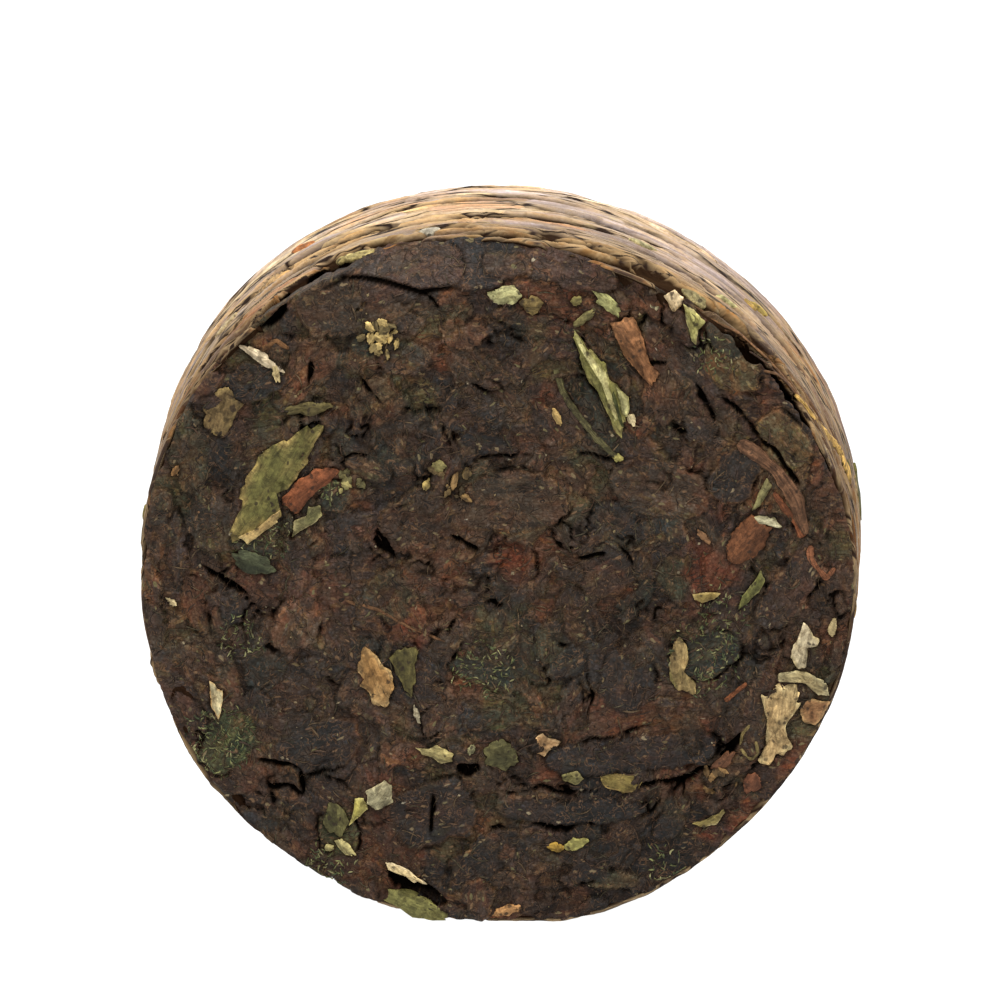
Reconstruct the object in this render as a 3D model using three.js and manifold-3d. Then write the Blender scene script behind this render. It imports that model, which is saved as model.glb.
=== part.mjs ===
// A small tea cake: broken, aged leaf pressed in a round mould, standing on its edge.
// Lengths are millimetres and +Z is up. The cake is built lying down with its front face up, so that
// x runs right, y runs up the standing face and z comes out of it, and is stood on its edge at the end.
import * as THREE from "three";
import { mergeVertices } from "three/addons/utils/BufferGeometryUtils.js";
import Module from "manifold-3d";

const wasm = await Module();
wasm.setup();

// Driving dimensions
const CAKE_DIAMETER = 28;
const CAKE_THICKNESS = 10;
const REST_FLAT_WIDTH = 4.4; // the worn flat on the edge that the cake stands on
const FOOT_LENGTH = 7; // the broad strip at the foot, pressed solid, that the flat is worn into
const EDGE_ROUND = 0.6; // the rounded corner between face and wall
const FACE_SKIN = 0.32; // depth of the looser leaf over the dense core, on the two faces
const WALL_SKIN = 0.22; // the same round the wall, which the mould presses smoother
const LEAF_DEPTH = 0.9; // how far a leaf piece runs down into the core
const TILT = 0.05; // the most that a pressed leaf leans, in radians
const RIM_MARGIN = 1.6; // how far inside the rim the outermost scattered leaf lies
const FLAKE_SUNK = 0.05; // the most that a named flake lies under the mould's face

// Ranges that the scattered leaf is drawn from, low and high
const LEAF_LENGTH = [3, 6.2];
const LEAF_SHAPE = [0.3, 0.55]; // width over length
const LEAF_SUNK = [0.2, 0.9]; // share of the face's skin
const LEAF_SWING = [95, 25]; // degrees off the rim's direction, in the middle and at the rim
const STRIP_LENGTH = [6, 12];
const STRIP_WIDTH = [1, 2.6];
const STRIP_SUNK = [0, 0.8]; // share of the wall's skin
const STRIP_TAPER = 0.7; // share of its width that a strip loses at its ends
const TORN_BITE = [0.75, 1.08]; // how far a torn outline is bitten in or stands out
const BLUNT = 0.7; // below 1 makes a torn oval blunter
const EITHER_WAY = [-1, 1];
const STEM_TAPER = 0.8;

// How finely the round shapes are split
const CAKE_SIDES = 60;
const ARC_STEPS = 3;
const OUTLINE_POINTS = 8;
const STRIP_STEPS = 4;
const SPLIT_STEPS = 12;
const CRACK_STEPS = 4;
const STEM_SIDES = 7;

// How many leaf pieces are spread by rule
const FACE_LEAVES = 44;
const WALL_STRIPS = 32;

// The first number of each kind of piece, which its draws depend on
const FIRST = { front: 0, back: 100, flake: 200, wall: 300 };

// Sizes worked out from the driving dimensions
const RADIUS = CAKE_DIAMETER / 2;
const HALF = CAKE_THICKNESS / 2;
const REST_HEIGHT = Math.sqrt(RADIUS ** 2 - (REST_FLAT_WIDTH / 2) ** 2); // from the axis to the flat
const GOLDEN_ANGLE = Math.PI * (3 - Math.sqrt(5));

// Leaf pieces that stand out on the front, the largest first: the middle of each, right of and above the
// middle of the face, its length and width, and its turn from level in degrees.
const FRONT_FLAKES = [
  { what: "long dark strip", x: 5.4, y: -6.8, length: 7.0, width: 1.4, turn: 7 },
  { what: "dark strip below it", x: 3.1, y: -9.2, length: 5.8, width: 1.0, turn: 1 },
  { what: "olive leaf with a torn tip", x: -8.7, y: 3.9, length: 5.5, width: 2.1, turn: 54 },
  { what: "rolled green leaf", x: 4.2, y: 8.0, length: 5.1, width: 1.9, turn: -65 },
  { what: "brown leaf under the rim", x: -5.3, y: 11.7, length: 4.2, width: 1.7, turn: 8 },
  { what: "dark leaf by the right edge", x: 11.6, y: 0.1, length: 3.9, width: 1.6, turn: 58 },
  { what: "large tan flake", x: 11.1, y: -5.0, length: 3.1, width: 1.6, turn: 78 },
  { what: "olive leaf at the upper right", x: 9.3, y: 9.1, length: 2.9, width: 2.0, turn: -50 },
  { what: "dull leaf below it", x: 11.2, y: 6.1, length: 2.4, width: 1.6, turn: -55 },
  { what: "curled brown leaf", x: 9.8, y: 1.9, length: 2.3, width: 1.4, turn: 55 },
  { what: "tan flake in two tones", x: -4.7, y: -3.7, length: 2.3, width: 1.3, turn: 120 },
  { what: "dark green patch", x: -10.5, y: -6.6, length: 2.3, width: 2.0, turn: 60 },
  { what: "green leaf at the foot", x: -2.9, y: -12.8, length: 2.4, width: 1.0, turn: -15 },
  { what: "dull olive plate", x: -10.9, y: 6.9, length: 2.1, width: 1.8, turn: 35 },
  { what: "pale upright flake", x: 7.3, y: -3.1, length: 2.1, width: 1.0, turn: 95 },
  { what: "pale splinter at the upper left", x: -9.2, y: 9.2, length: 1.9, width: 0.5, turn: -30 },
  { what: "green flake", x: -3.6, y: -3.4, length: 1.8, width: 1.0, turn: 80 },
  { what: "pale flake by the right edge", x: 12.0, y: -2.1, length: 1.8, width: 0.9, turn: 70 },
  { what: "pale strip across it", x: 12.0, y: -3.6, length: 1.7, width: 0.7, turn: -30 },
  { what: "pale splinter at the foot", x: -3.5, y: -11.9, length: 1.7, width: 0.5, turn: -25 },
  { what: "pointed green leaf", x: 10.1, y: 0.3, length: 1.7, width: 0.8, turn: 60 },
  { what: "pale green chip", x: 0.5, y: 11.6, length: 1.6, width: 1.0, turn: -5 },
  { what: "olive chip on the strips", x: 4.9, y: -7.9, length: 1.6, width: 0.8, turn: 0 },
  { what: "bud tuft", x: -4.5, y: 10.0, length: 1.5, width: 1.1, turn: 30 },
  { what: "yellow green chip", x: -5.6, y: -9.3, length: 1.5, width: 0.8, turn: 45 },
  { what: "olive tan flake", x: 8.3, y: -9.2, length: 1.4, width: 0.9, turn: 30 },
  { what: "round olive chip", x: 0.2, y: -6.9, length: 1.4, width: 1.2, turn: 10 },
];

// Twigs on the front, round in section.
const FRONT_STEMS = [
  { what: "long red brown twig", x: 10.7, y: 4.4, length: 4.1, thickness: 0.8, turn: -52 },
  { what: "brown twig", x: 5.4, y: 9.9, length: 2.7, thickness: 0.9, turn: -62 },
  { what: "red brown chip", x: -7.4, y: 3.7, length: 2.4, thickness: 1.0, turn: 32 },
];

// Gaps in the front between leaves that have drawn apart.
const FRONT_CRACKS = [
  { what: "between the long dark strips", x: 2.3, y: -8.4, length: 5.6, width: 0.3, turn: 0 },
  { what: "its run up to the right", x: 7.1, y: -7.8, length: 4.2, width: 0.3, turn: 16 },
  { what: "under the lower dark strip", x: 2.6, y: -9.8, length: 5.2, width: 0.3, turn: -2 },
  { what: "over the brown leaf under the rim", x: -5.4, y: 12.6, length: 4.9, width: 0.35, turn: 6 },
  { what: "slanting gap at the left", x: -10.7, y: 0.2, length: 2.8, width: 0.4, turn: -29 },
  { what: "slanting gap at the foot", x: -3.4, y: -12.6, length: 3.2, width: 0.4, turn: -30 },
  { what: "pit left of the middle", x: -4.3, y: 1.7, length: 1.5, width: 0.7, turn: -60 },
];
const CRACK_DEPTH = 0.7;

// Where the wall's leaf has drawn away from the front layer: a groove round the wall, from angle to angle in
// degrees from the x axis, its middle so far behind the face, closing at both ends.
const RIM_SPLITS = [
  { what: "wide split at the upper right", from: 10, to: 68, gap: 1.7, behind: 1.2, depth: 1.0 },
  { what: "narrow split at the top", from: 72, to: 108, gap: 0.3, behind: 0.6, depth: 0.6 },
];
const SPLIT_TAPER = 0.85;

// Where the leaf at the top of the front is sunk back under the wall's edge, left of the top: at each angle,
// how far back the corner stands and how far inside the rim the slope starts. Between them it runs evenly.
const SUNK_CORNER = [
  { at: 70, drop: 0, inside: 0 },
  { at: 86, drop: 1.2, inside: 1.7 },
  { at: 104, drop: 2.1, inside: 1.9 },
  { at: 121, drop: 2.7, inside: 1.1 },
  { at: 131, drop: 0, inside: 0 },
];
const SUNK_HOLLOW = 0.1; // how far the slope is hollowed, over how far back it runs

// Waves round the outline that take it out of round: how many, how high over the radius, and where they start.
const ROUNDNESS = [
  { waves: 2, size: 0.008, start: 2.21 },
  { waves: 3, size: 0.0076, start: 0.54 },
  { waves: 4, size: 0.0028, start: 0.71 },
  { waves: 5, size: 0.003, start: 2.1 },
];

// A repeatable draw from 0 to 1 for piece i and property k.
function chance(i, k) {
  const value = Math.sin(12.9898 * i + 78.233 * k) * 43758.5453;
  return value - Math.floor(value);
}

const radians = THREE.MathUtils.degToRad;
const between = ([low, high], share) => low + (high - low) * share;

// The mould-pressed outline is a little out of round: its radius at an angle, over the mean radius.
function outOfRound(angle) {
  return 1 + 0.005 * Math.sin(2 * angle + 0.9) + 0.003 * Math.sin(5 * angle + 2.1);
}

// A geometry's closed surface as a solid that can be joined and cut.
function solidOf(geometry) {
  const bare = new THREE.BufferGeometry();
  bare.setAttribute("position", geometry.getAttribute("position"));
  bare.setIndex(geometry.index);
  const merged = mergeVertices(bare, 1e-4);
  const corners = Array.from(merged.index.array);
  const kept = [];
  for (let i = 0; i < corners.length; i += 3) {
    const [a, b, c] = corners.slice(i, i + 3);
    if (a !== b && b !== c && c !== a) kept.push(a, b, c);
  }
  const vertProperties = merged.getAttribute("position").array;
  return new wasm.Manifold(new wasm.Mesh({ numProp: 3, vertProperties, triVerts: new Uint32Array(kept) }));
}

// A solid's surface as a geometry with flat shading normals.
function geometryOf(solid) {
  const { numProp, vertProperties, triVerts } = solid.getMesh();
  const geometry = new THREE.BufferGeometry();
  const vertices = new THREE.InterleavedBuffer(vertProperties, numProp);
  geometry.setAttribute("position", new THREE.InterleavedBufferAttribute(vertices, 3, 0));
  geometry.setIndex(new THREE.BufferAttribute(triVerts, 1));
  const faceted = geometry.toNonIndexed();
  faceted.computeVertexNormals();
  return faceted;
}

// Moves every vertex of a geometry by a rule that changes the point it is given.
function reshape(geometry, rule) {
  const position = geometry.getAttribute("position");
  const point = new THREE.Vector3();
  for (let i = 0; i < position.count; i++) {
    rule(point.fromBufferAttribute(position, i));
    position.setXYZ(i, point.x, point.y, point.z);
  }
  return geometry;
}

// A round puck with rounded corners, slightly out of round, lying on its face.
function puck(radius, thickness, round) {
  const half = thickness / 2;
  const profile = new THREE.Path();
  profile.moveTo(0, -half);
  profile.lineTo(radius - round, -half);
  profile.absarc(radius - round, -half + round, round, -Math.PI / 2, 0);
  profile.lineTo(radius, half - round);
  profile.absarc(radius - round, half - round, round, 0, Math.PI / 2);
  profile.lineTo(0, half);
  const turned = new THREE.LatheGeometry(profile.getPoints(ARC_STEPS), CAKE_SIDES).rotateX(Math.PI / 2);
  return reshape(turned, (point) => {
    const scale = outOfRound(Math.atan2(point.y, point.x));
    point.x *= scale;
    point.y *= scale;
  });
}

// The outline of a torn piece of leaf: a blunt oval whose edge is bitten in unevenly.
function tornOutline(length, width, key) {
  const points = [];
  for (let k = 0; k < OUTLINE_POINTS; k++) {
    const angle = (2 * Math.PI * k) / OUTLINE_POINTS;
    const bite = between(TORN_BITE, chance(key, k + 20));
    const along = Math.sign(Math.cos(angle)) * Math.abs(Math.cos(angle)) ** BLUNT;
    const across = Math.sign(Math.sin(angle)) * Math.abs(Math.sin(angle)) ** BLUNT;
    points.push(new THREE.Vector2((along * length * bite) / 2, (across * width * bite) / 2));
  }
  return new THREE.Shape(points);
}

// A pressed leaf on the face: a torn plate sunk in the core, its top at the given depth under the mould.
function leafPlate({ x, y, length, width, turn }, sunk, key) {
  const plate = new THREE.ExtrudeGeometry(tornOutline(length, width, key), {
    depth: LEAF_DEPTH,
    bevelEnabled: false,
  });
  return plate
    .translate(0, 0, -LEAF_DEPTH)
    .rotateX(TILT * between(EITHER_WAY, chance(key, 11)))
    .rotateY(TILT * between(EITHER_WAY, chance(key, 12)) * (width / length))
    .rotateZ(radians(turn))
    .translate(x, y, HALF - sunk);
}

// Leaves spread evenly over a face on a sunflower spiral. They lie along the rim near the edge and any way
// in the middle.
function scatteredLeaves(first) {
  const leaves = [];
  for (let i = first; i < first + FACE_LEAVES; i++) {
    const share = Math.sqrt((i - first + 0.5) / FACE_LEAVES);
    const angle = i * GOLDEN_ANGLE;
    const reach = (RADIUS - RIM_MARGIN) * share;
    const length = between(LEAF_LENGTH, chance(i, 1) ** 2);
    const swing = between(LEAF_SWING, share) * between(EITHER_WAY, chance(i, 3));
    const place = {
      x: reach * Math.cos(angle),
      y: reach * Math.sin(angle),
      length,
      width: length * between(LEAF_SHAPE, chance(i, 2)),
      turn: THREE.MathUtils.radToDeg(angle) + 90 + swing,
    };
    leaves.push(leafPlate(place, FACE_SKIN * between(LEAF_SUNK, chance(i, 4)), i));
  }
  return leaves;
}

// A bar bent to the wall's curve: its length runs round the axis, its width along it and its depth towards
// it, and it narrows towards both ends.
function bentBar({ length, width, depth, taper, steps, middle, reach, height }) {
  const bar = new THREE.BoxGeometry(length, width, depth, steps, 1, 1);
  return reshape(bar, (point) => {
    const narrowing = 1 - taper * ((2 * point.x) / length) ** 2;
    const angle = middle + point.x / RADIUS;
    const out = (reach + point.z) * outOfRound(angle);
    point.set(out * Math.cos(angle), out * Math.sin(angle), height + point.y * narrowing);
  });
}

// A leaf strip pressed round the wall.
function wallStrip(i) {
  const width = between(STRIP_WIDTH, chance(i, 2));
  const sunk = WALL_SKIN * between(STRIP_SUNK, chance(i, 4));
  return bentBar({
    length: between(STRIP_LENGTH, chance(i, 1)),
    width,
    depth: LEAF_DEPTH,
    taper: STRIP_TAPER,
    steps: STRIP_STEPS,
    middle: i * GOLDEN_ANGLE,
    reach: RADIUS - sunk - LEAF_DEPTH / 2,
    height: (HALF - EDGE_ROUND - width / 2) * between(EITHER_WAY, chance(i, 3)),
  });
}

// The strip at the foot: it fills the loose leaf there, and stands out of the mould, which trims it.
function footStrip() {
  return bentBar({
    length: FOOT_LENGTH,
    width: CAKE_THICKNESS - 2 * EDGE_ROUND,
    depth: LEAF_DEPTH,
    taper: 0,
    steps: STRIP_STEPS,
    middle: radians(-90),
    reach: RADIUS,
    height: 0,
  });
}

// A twig lying half sunk in the front face.
function stem({ x, y, length, thickness, turn }) {
  const radius = thickness / 2;
  return new THREE.CylinderGeometry(radius, radius * STEM_TAPER, length, STEM_SIDES)
    .rotateZ(radians(turn - 90))
    .translate(x, y, HALF - radius);
}

// A lens-shaped slot, to be cut into the front face.
function crack({ x, y, length, width, turn }) {
  const lens = new THREE.Shape();
  lens.moveTo(-length / 2, 0);
  lens.quadraticCurveTo(0, -width, length / 2, 0);
  lens.quadraticCurveTo(0, width, -length / 2, 0);
  const depth = 2 * CRACK_DEPTH;
  return new THREE.ExtrudeGeometry(lens, { depth, bevelEnabled: false, curveSegments: CRACK_STEPS })
    .rotateZ(radians(turn))
    .translate(x, y, HALF - CRACK_DEPTH);
}

// A groove round the wall behind the front layer, to be cut out.
function rimSplit({ from, to, gap, behind, depth }) {
  return bentBar({
    length: radians(to - from) * RADIUS,
    width: gap,
    depth: 2 * depth,
    taper: SPLIT_TAPER,
    steps: SPLIT_STEPS,
    middle: radians((from + to) / 2),
    reach: RADIUS,
    height: HALF - behind,
  });
}

// How far back and how far inside the rim the sunk corner reaches at an angle in degrees.
function sunkAt(degrees) {
  const next = Math.max(1, SUNK_CORNER.findIndex((corner) => corner.at >= degrees));
  const [a, b] = [SUNK_CORNER[next - 1], SUNK_CORNER[next]];
  const share = (degrees - a.at) / (b.at - a.at);
  return { drop: between([a.drop, b.drop], share), inside: between([a.inside, b.inside], share) };
}

// What is missing at the sunk corner, to be cut out: a bar bent to the wall's curve whose section has one
// corner outside the cake, one on the face, one on the wall and one at the bottom of the hollow.
function sunkCorner() {
  const first = SUNK_CORNER[0].at;
  const last = SUNK_CORNER[SUNK_CORNER.length - 1].at;
  const bar = new THREE.BoxGeometry(last - first, 2, 2, SPLIT_STEPS, 1, 1);
  return reshape(bar, (point) => {
    const degrees = THREE.MathUtils.clamp(point.x + (first + last) / 2, first, last);
    const { drop, inside } = sunkAt(degrees);
    const atBottom = point.y < 0 && point.z < 0;
    const share = atBottom ? 0.5 : 1; // the hollow lies halfway down the slope
    const hollow = atBottom ? SUNK_HOLLOW * drop : 0;
    const reach = point.z > 0 ? RADIUS + EDGE_ROUND : RADIUS - inside * share - hollow;
    const height = point.y > 0 ? HALF + EDGE_ROUND : HALF - drop * share - hollow;
    const angle = radians(degrees);
    const out = reach * outOfRound(angle);
    point.set(out * Math.cos(angle), out * Math.sin(angle), height);
  });
}

// What lies below the worn flat, to be cut off the edge.
function belowTheFlat() {
  return new THREE.BoxGeometry(CAKE_DIAMETER, RADIUS, 2 * CAKE_THICKNESS).translate(
    0,
    -REST_HEIGHT - RADIUS / 2,
    0,
  );
}

// All the leaf that is fused to the core.
function leafPieces() {
  const strips = Array.from({ length: WALL_STRIPS }, (_, i) => wallStrip(FIRST.wall + i));
  const front = scatteredLeaves(FIRST.front);
  const back = scatteredLeaves(FIRST.back).map((leaf) => leaf.rotateY(Math.PI));
  const flakes = FRONT_FLAKES.map((flake, i) => leafPlate(flake, FLAKE_SUNK * chance(i, 5), FIRST.flake + i));
  return [...strips, footStrip(), ...front, ...back, ...flakes, ...FRONT_STEMS.map(stem)];
}

// The largest separate body of a solid: loose scraps and sealed hollows fall away.
function mainBody(solid) {
  return solid.decompose().reduce((best, body) => (body.volume() > best.volume() ? body : best));
}

// The cake: core and leaf joined, pressed to the mould's shape, then split, cracked and worn flat.
function pressedCake() {
  const core = solidOf(puck(RADIUS - WALL_SKIN, CAKE_THICKNESS - 2 * FACE_SKIN, EDGE_ROUND));
  const mould = solidOf(puck(RADIUS, CAKE_THICKNESS, EDGE_ROUND));
  const filled = leafPieces().reduce((cake, piece) => cake.add(solidOf(piece)), core);
  const cuts = [...FRONT_CRACKS.map(crack), ...RIM_SPLITS.map(rimSplit), sunkCorner(), belowTheFlat()];
  return mainBody(cuts.reduce((cake, cut) => cake.subtract(solidOf(cut)), filled.intersect(mould)));
}

const pressedLeaf = new THREE.MeshStandardMaterial({ color: 0x3a2c22, roughness: 0.85, metalness: 0 });
const cake = new THREE.Mesh(geometryOf(pressedCake()), pressedLeaf);
cake.name = "pressed_tea_cake";
cake.rotation.x = Math.PI / 2; // stands the cake on its edge, front face towards -Y
cake.position.z = REST_HEIGHT;

const part = new THREE.Group();
part.add(cake);

export default part;
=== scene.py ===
# %% [markdown]
# # A small cake of pressed tea
# Broken, aged tea leaf was steamed, pressed in a round mould and dried. The result is a hard dark puck:
# two flat faces matted from torn leaf, a wall of long strips that the mould has smoothed, and pale flakes,
# twigs and hairs caught in it. The CAD model gives the size and the place, and this script gives the
# looks.

# %% Load the frame and read the sizes from it
from collections import namedtuple
from types import SimpleNamespace

import bpy
import numpy as np
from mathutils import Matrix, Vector


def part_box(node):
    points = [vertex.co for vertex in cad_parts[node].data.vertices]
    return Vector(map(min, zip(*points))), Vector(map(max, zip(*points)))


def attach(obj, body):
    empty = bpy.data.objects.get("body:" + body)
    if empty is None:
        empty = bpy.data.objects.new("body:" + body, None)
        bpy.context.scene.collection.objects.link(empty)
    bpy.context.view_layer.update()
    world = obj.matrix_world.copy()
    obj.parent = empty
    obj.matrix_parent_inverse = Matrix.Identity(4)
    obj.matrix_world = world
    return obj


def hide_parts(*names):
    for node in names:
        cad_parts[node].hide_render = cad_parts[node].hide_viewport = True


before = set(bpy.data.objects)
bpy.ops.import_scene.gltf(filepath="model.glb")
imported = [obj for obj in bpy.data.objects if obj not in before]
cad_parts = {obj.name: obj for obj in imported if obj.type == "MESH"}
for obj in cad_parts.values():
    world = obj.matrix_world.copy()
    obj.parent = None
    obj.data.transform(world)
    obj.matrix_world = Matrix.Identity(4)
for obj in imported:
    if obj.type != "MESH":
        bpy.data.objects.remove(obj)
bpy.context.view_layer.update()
CAKE = "pressed_tea_cake"
MM = 0.001
# waves round the girth, their height as a share of the radius, where they start
ROUNDNESS = ((2, 0.008, 2.21), (3, 0.0076, 0.54), (4, 0.0028, 0.71), (5, 0.003, 2.1))


def out_of_round(angle):
    """The outline's radius over the mean one: a few waves round the girth, more than the CAD model has."""
    return 1 + sum(size * np.sin(waves * angle + start) for waves, size, start in ROUNDNESS)


low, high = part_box(CAKE)
FLAT_DEPTH = 0.17
RADIUS = ((high.z - low.z) / MM + FLAT_DEPTH) / (1 + out_of_round(np.pi / 2))
HALF = (high.y - low.y) / 2 / MM
FLAT_WIDTH = 4.4
AXIS_HEIGHT = np.sqrt(RADIUS**2 - (FLAT_WIDTH / 2) ** 2)
GIRTH = 2 * np.pi * RADIUS
print(f"radius {RADIUS:.2f} mm, half thickness {HALF:.2f} mm, axis {AXIS_HEIGHT:.2f} mm up")

# %% [markdown]
# ## Tools for surfaces
# Nothing on the cake is straight, so almost every shape needs noise. Blender has noise in its shaders, but
# a shape has to be in the mesh, so the same kind of noise is worked out here with numpy, on whole arrays.

# %% Noise, steps and repeatable draws
LATTICE = 256


def smooth_step(share):
    """Nought below 0, one above 1, and the cubic 3s² - 2s³ between."""
    share = np.clip(share, 0, 1)
    return share * share * (3 - 2 * share)


def noise(x, y, cell, seed):
    """Random values from -1 to 1 at the corners of square cells, with a smooth step from corner to corner."""
    table = np.random.default_rng(seed).uniform(-1, 1, (LATTICE, LATTICE))
    column, row = np.floor(x / cell).astype(int), np.floor(y / cell).astype(int)
    right, up = smooth_step(x / cell - column), smooth_step(y / cell - row)
    near, far = column % LATTICE, (column + 1) % LATTICE
    below, above = row % LATTICE, (row + 1) % LATTICE
    lower = table[near, below] * (1 - right) + table[far, below] * right
    upper = table[near, above] * (1 - right) + table[far, above] * right
    return lower * (1 - up) + upper * up


def rough_noise(x, y, cell, seed, octaves=4):
    """Layers of noise, each with half the cell and half the height of the one before."""
    layers = [noise(x, y, cell / 2**k, seed + k) / 2**k for k in range(octaves)]
    return sum(layers) / 1.4


def chance(i, k):
    """The repeatable draw from 0 to 1 that the CAD model uses for piece i and property k."""
    value = np.sin(12.9898 * i + 78.233 * k) * 43758.5453
    return value - np.floor(value)


def between(low, high, share):
    """The value at that share of the way from low to high."""
    return low + (high - low) * share


def polar(reach, angle):
    """The place at that distance and angle."""
    return reach * np.cos(angle), reach * np.sin(angle)


def turned(x, y, angle):
    """A place turned round the origin, anticlockwise."""
    return x * np.cos(angle) - y * np.sin(angle), x * np.sin(angle) + y * np.cos(angle)


print(f"leaf 7 draws {chance(7, 1):.3f}, here and in the CAD model")

# %% [markdown]
# ## Places on the cake
# A face is flat and the wall is bent, but leaf lies on both in the same way. So every piece is worked out
# on a flat sheet (x along, y up, h out of it, in millimetres), and one function for each side then carries
# the sheet to its place on the cake.

# %% From flat sheets to the cake


def outline(angle):
    """The cake's radius at an angle: the mould's, slightly out of round, cut off by the flat it stands on."""
    return np.minimum(RADIUS * out_of_round(angle), AXIS_HEIGHT / np.maximum(-np.sin(angle), 1e-6))


def to_front(x, y, h):
    """The front face looks along -Y."""
    return np.stack([x, -(HALF + h), np.maximum(AXIS_HEIGHT + y, 0)], axis=-1)


def to_back(x, y, h):
    """The back face looks along +Y, so x runs the other way."""
    return np.stack([-x, HALF + h, np.maximum(AXIS_HEIGHT + y, 0)], axis=-1)


def to_wall(x, y, h):
    """The wall: x runs round the girth, clockwise from the right, y to the back, h away from the axis."""
    angle = -x / RADIUS
    reach = outline(angle) + h
    up = np.maximum(AXIS_HEIGHT + reach * np.sin(angle), 0)
    return np.stack([reach * np.cos(angle), y + 0 * reach, up], axis=-1)


print(f"outline {outline(0.0):.2f} mm from the axis at the right, {outline(np.pi / 2):.2f} at the top")

# %% [markdown]
# ## From arrays to meshes
# A mesh is three lists: points, corners and faces. foreach_set fills each of them from an array in one go,
# which is hundreds of times faster than a loop over the points. Values for the shaders, such as a colour,
# are stored on the points as attributes.

# %% Mesh helpers
Shape = namedtuple("Shape", "points faces marks")


def signed_volume(points, faces):
    """A sixth of the sum of each triangle's triple product: positive if the faces point outwards."""
    total = 0.0
    for corners in faces:
        for k in range(1, corners.shape[1] - 1):
            a, b, c = (points[corners[:, j]] for j in (0, k, k + 1))
            total += np.einsum("ij,ij->", a, np.cross(b, c)) / 6
    return total


def make_piece(name, shape, material):
    """A closed mesh at the origin from points in mm, arrays of corner numbers, and one value per point for
    each mark: a number, a vector or a colour."""
    points, faces, marks = shape
    if signed_volume(points - points.mean(0), faces) < 0:
        faces = [f[:, ::-1] for f in faces]
    corners = np.concatenate([f.ravel() for f in faces]).astype(np.int32)
    sizes = np.concatenate([np.full(len(f), f.shape[1]) for f in faces])
    mesh = bpy.data.meshes.new(name)
    mesh.vertices.add(len(points))
    mesh.vertices.foreach_set("co", (points * MM).astype(np.float32).ravel())
    mesh.loops.add(len(corners))
    mesh.loops.foreach_set("vertex_index", corners)
    mesh.polygons.add(len(sizes))
    mesh.polygons.foreach_set("loop_start", (np.cumsum(sizes) - sizes).astype(np.int32))
    mesh.update(calc_edges=True)
    mesh.validate()
    mesh.polygons.foreach_set("use_smooth", np.ones(len(mesh.polygons), bool))
    for mark, values in marks.items():
        values = np.asarray(values, np.float32)
        if values.ndim == 1:
            mesh.attributes.new(mark, "FLOAT", "POINT").data.foreach_set("value", values)
        elif mark.endswith("colour"):
            solid = np.concatenate([values, np.ones((len(values), 1), np.float32)], axis=1)
            mesh.attributes.new(mark, "FLOAT_COLOR", "POINT").data.foreach_set("color", solid.ravel())
        else:
            mesh.attributes.new(mark, "FLOAT_VECTOR", "POINT").data.foreach_set("vector", values.ravel())
    mesh.materials.append(material)
    piece = bpy.data.objects.new(name, mesh)
    bpy.context.scene.collection.objects.link(piece)
    print(f"{name}: {len(points)} points, {int((sizes - 2).sum())} triangles")
    return piece


def band_faces(first, second):
    """The quads between two closed rings of point numbers."""
    return np.stack([first, np.roll(first, -1), np.roll(second, -1), second], axis=-1)


def fan_faces(ring, middle):
    """The triangles between a closed ring of point numbers and the point in its middle."""
    return np.stack([ring, np.roll(ring, -1), np.full(len(ring), middle)], axis=-1)


def joined(shapes):
    """Many small shapes as one: their points and marks in a row, their corner numbers moved on."""
    starts = np.cumsum([0] + [len(shape.points) for shape in shapes])
    faces = [f + start for shape, start in zip(shapes, starts) for f in shape.faces]
    by_size = [np.concatenate([f for f in faces if f.shape[1] == size]) for size in (3, 4)]
    marks = {key: np.concatenate([shape.marks[key] for shape in shapes]) for key in shapes[0].marks}
    return Shape(np.concatenate([shape.points for shape in shapes]), by_size, marks)


# %% [markdown]
# ## Colours
# Colours are given as they look on the lit cake, on a screen's scale of 0 to 255. Shaders need how
# much light the leaf gives back, so each colour is taken out of the screen's curve and divided by the
# light that falls there.

# %% Colours as seen
LIGHT_ON_FACE = 1.5
LIGHT_ON_WALL = 1.75


def seen(red, green, blue, light=LIGHT_ON_FACE):
    """What leaf gives back, in linear light, to look like this screen colour under that much light."""
    value = np.array([red, green, blue]) / 255
    return np.where(value <= 0.04045, value / 12.92, ((value + 0.055) / 1.055) ** 2.4) / light


def on_wall(red, green, blue):
    """The same for the wall, which has more light on it."""
    return seen(red, green, blue, LIGHT_ON_WALL)


print(f"light on a face {LIGHT_ON_FACE}, on the wall {LIGHT_ON_WALL}")

# %% [markdown]
# ## Matted leaf
# Under the press, leaf on leaf becomes one surface: each leaf covers part of the one before, its torn edge
# a low step with a dark gap beside it. A mat is that surface as arrays on a fine raster. Leaves are laid
# on it one after another, as a painter lays strokes, and each changes the height and the colour under it.

# %% The mat
Leaf = namedtuple("Leaf", """
    x y length width turn level lean bend blunt tear gap fray wrinkle colour smooth cover""")
EDGE_SOFTNESS = 0.04
GAP_WIDTH = 0.06
FULL_GAP = 0.2
FRAY_HIGHLIGHT_WIDTH = 0.07
SEAM = 4.0
SLIT_EDGE = 0.07
SLIT_WANDER, SLIT_JITTER = 0.25, 0.12
LIP_AWAY, LIP_SPREAD, LIP_HEIGHT, LIP_SHARE = 0.12, 0.1, 0.05, 0.85


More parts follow.
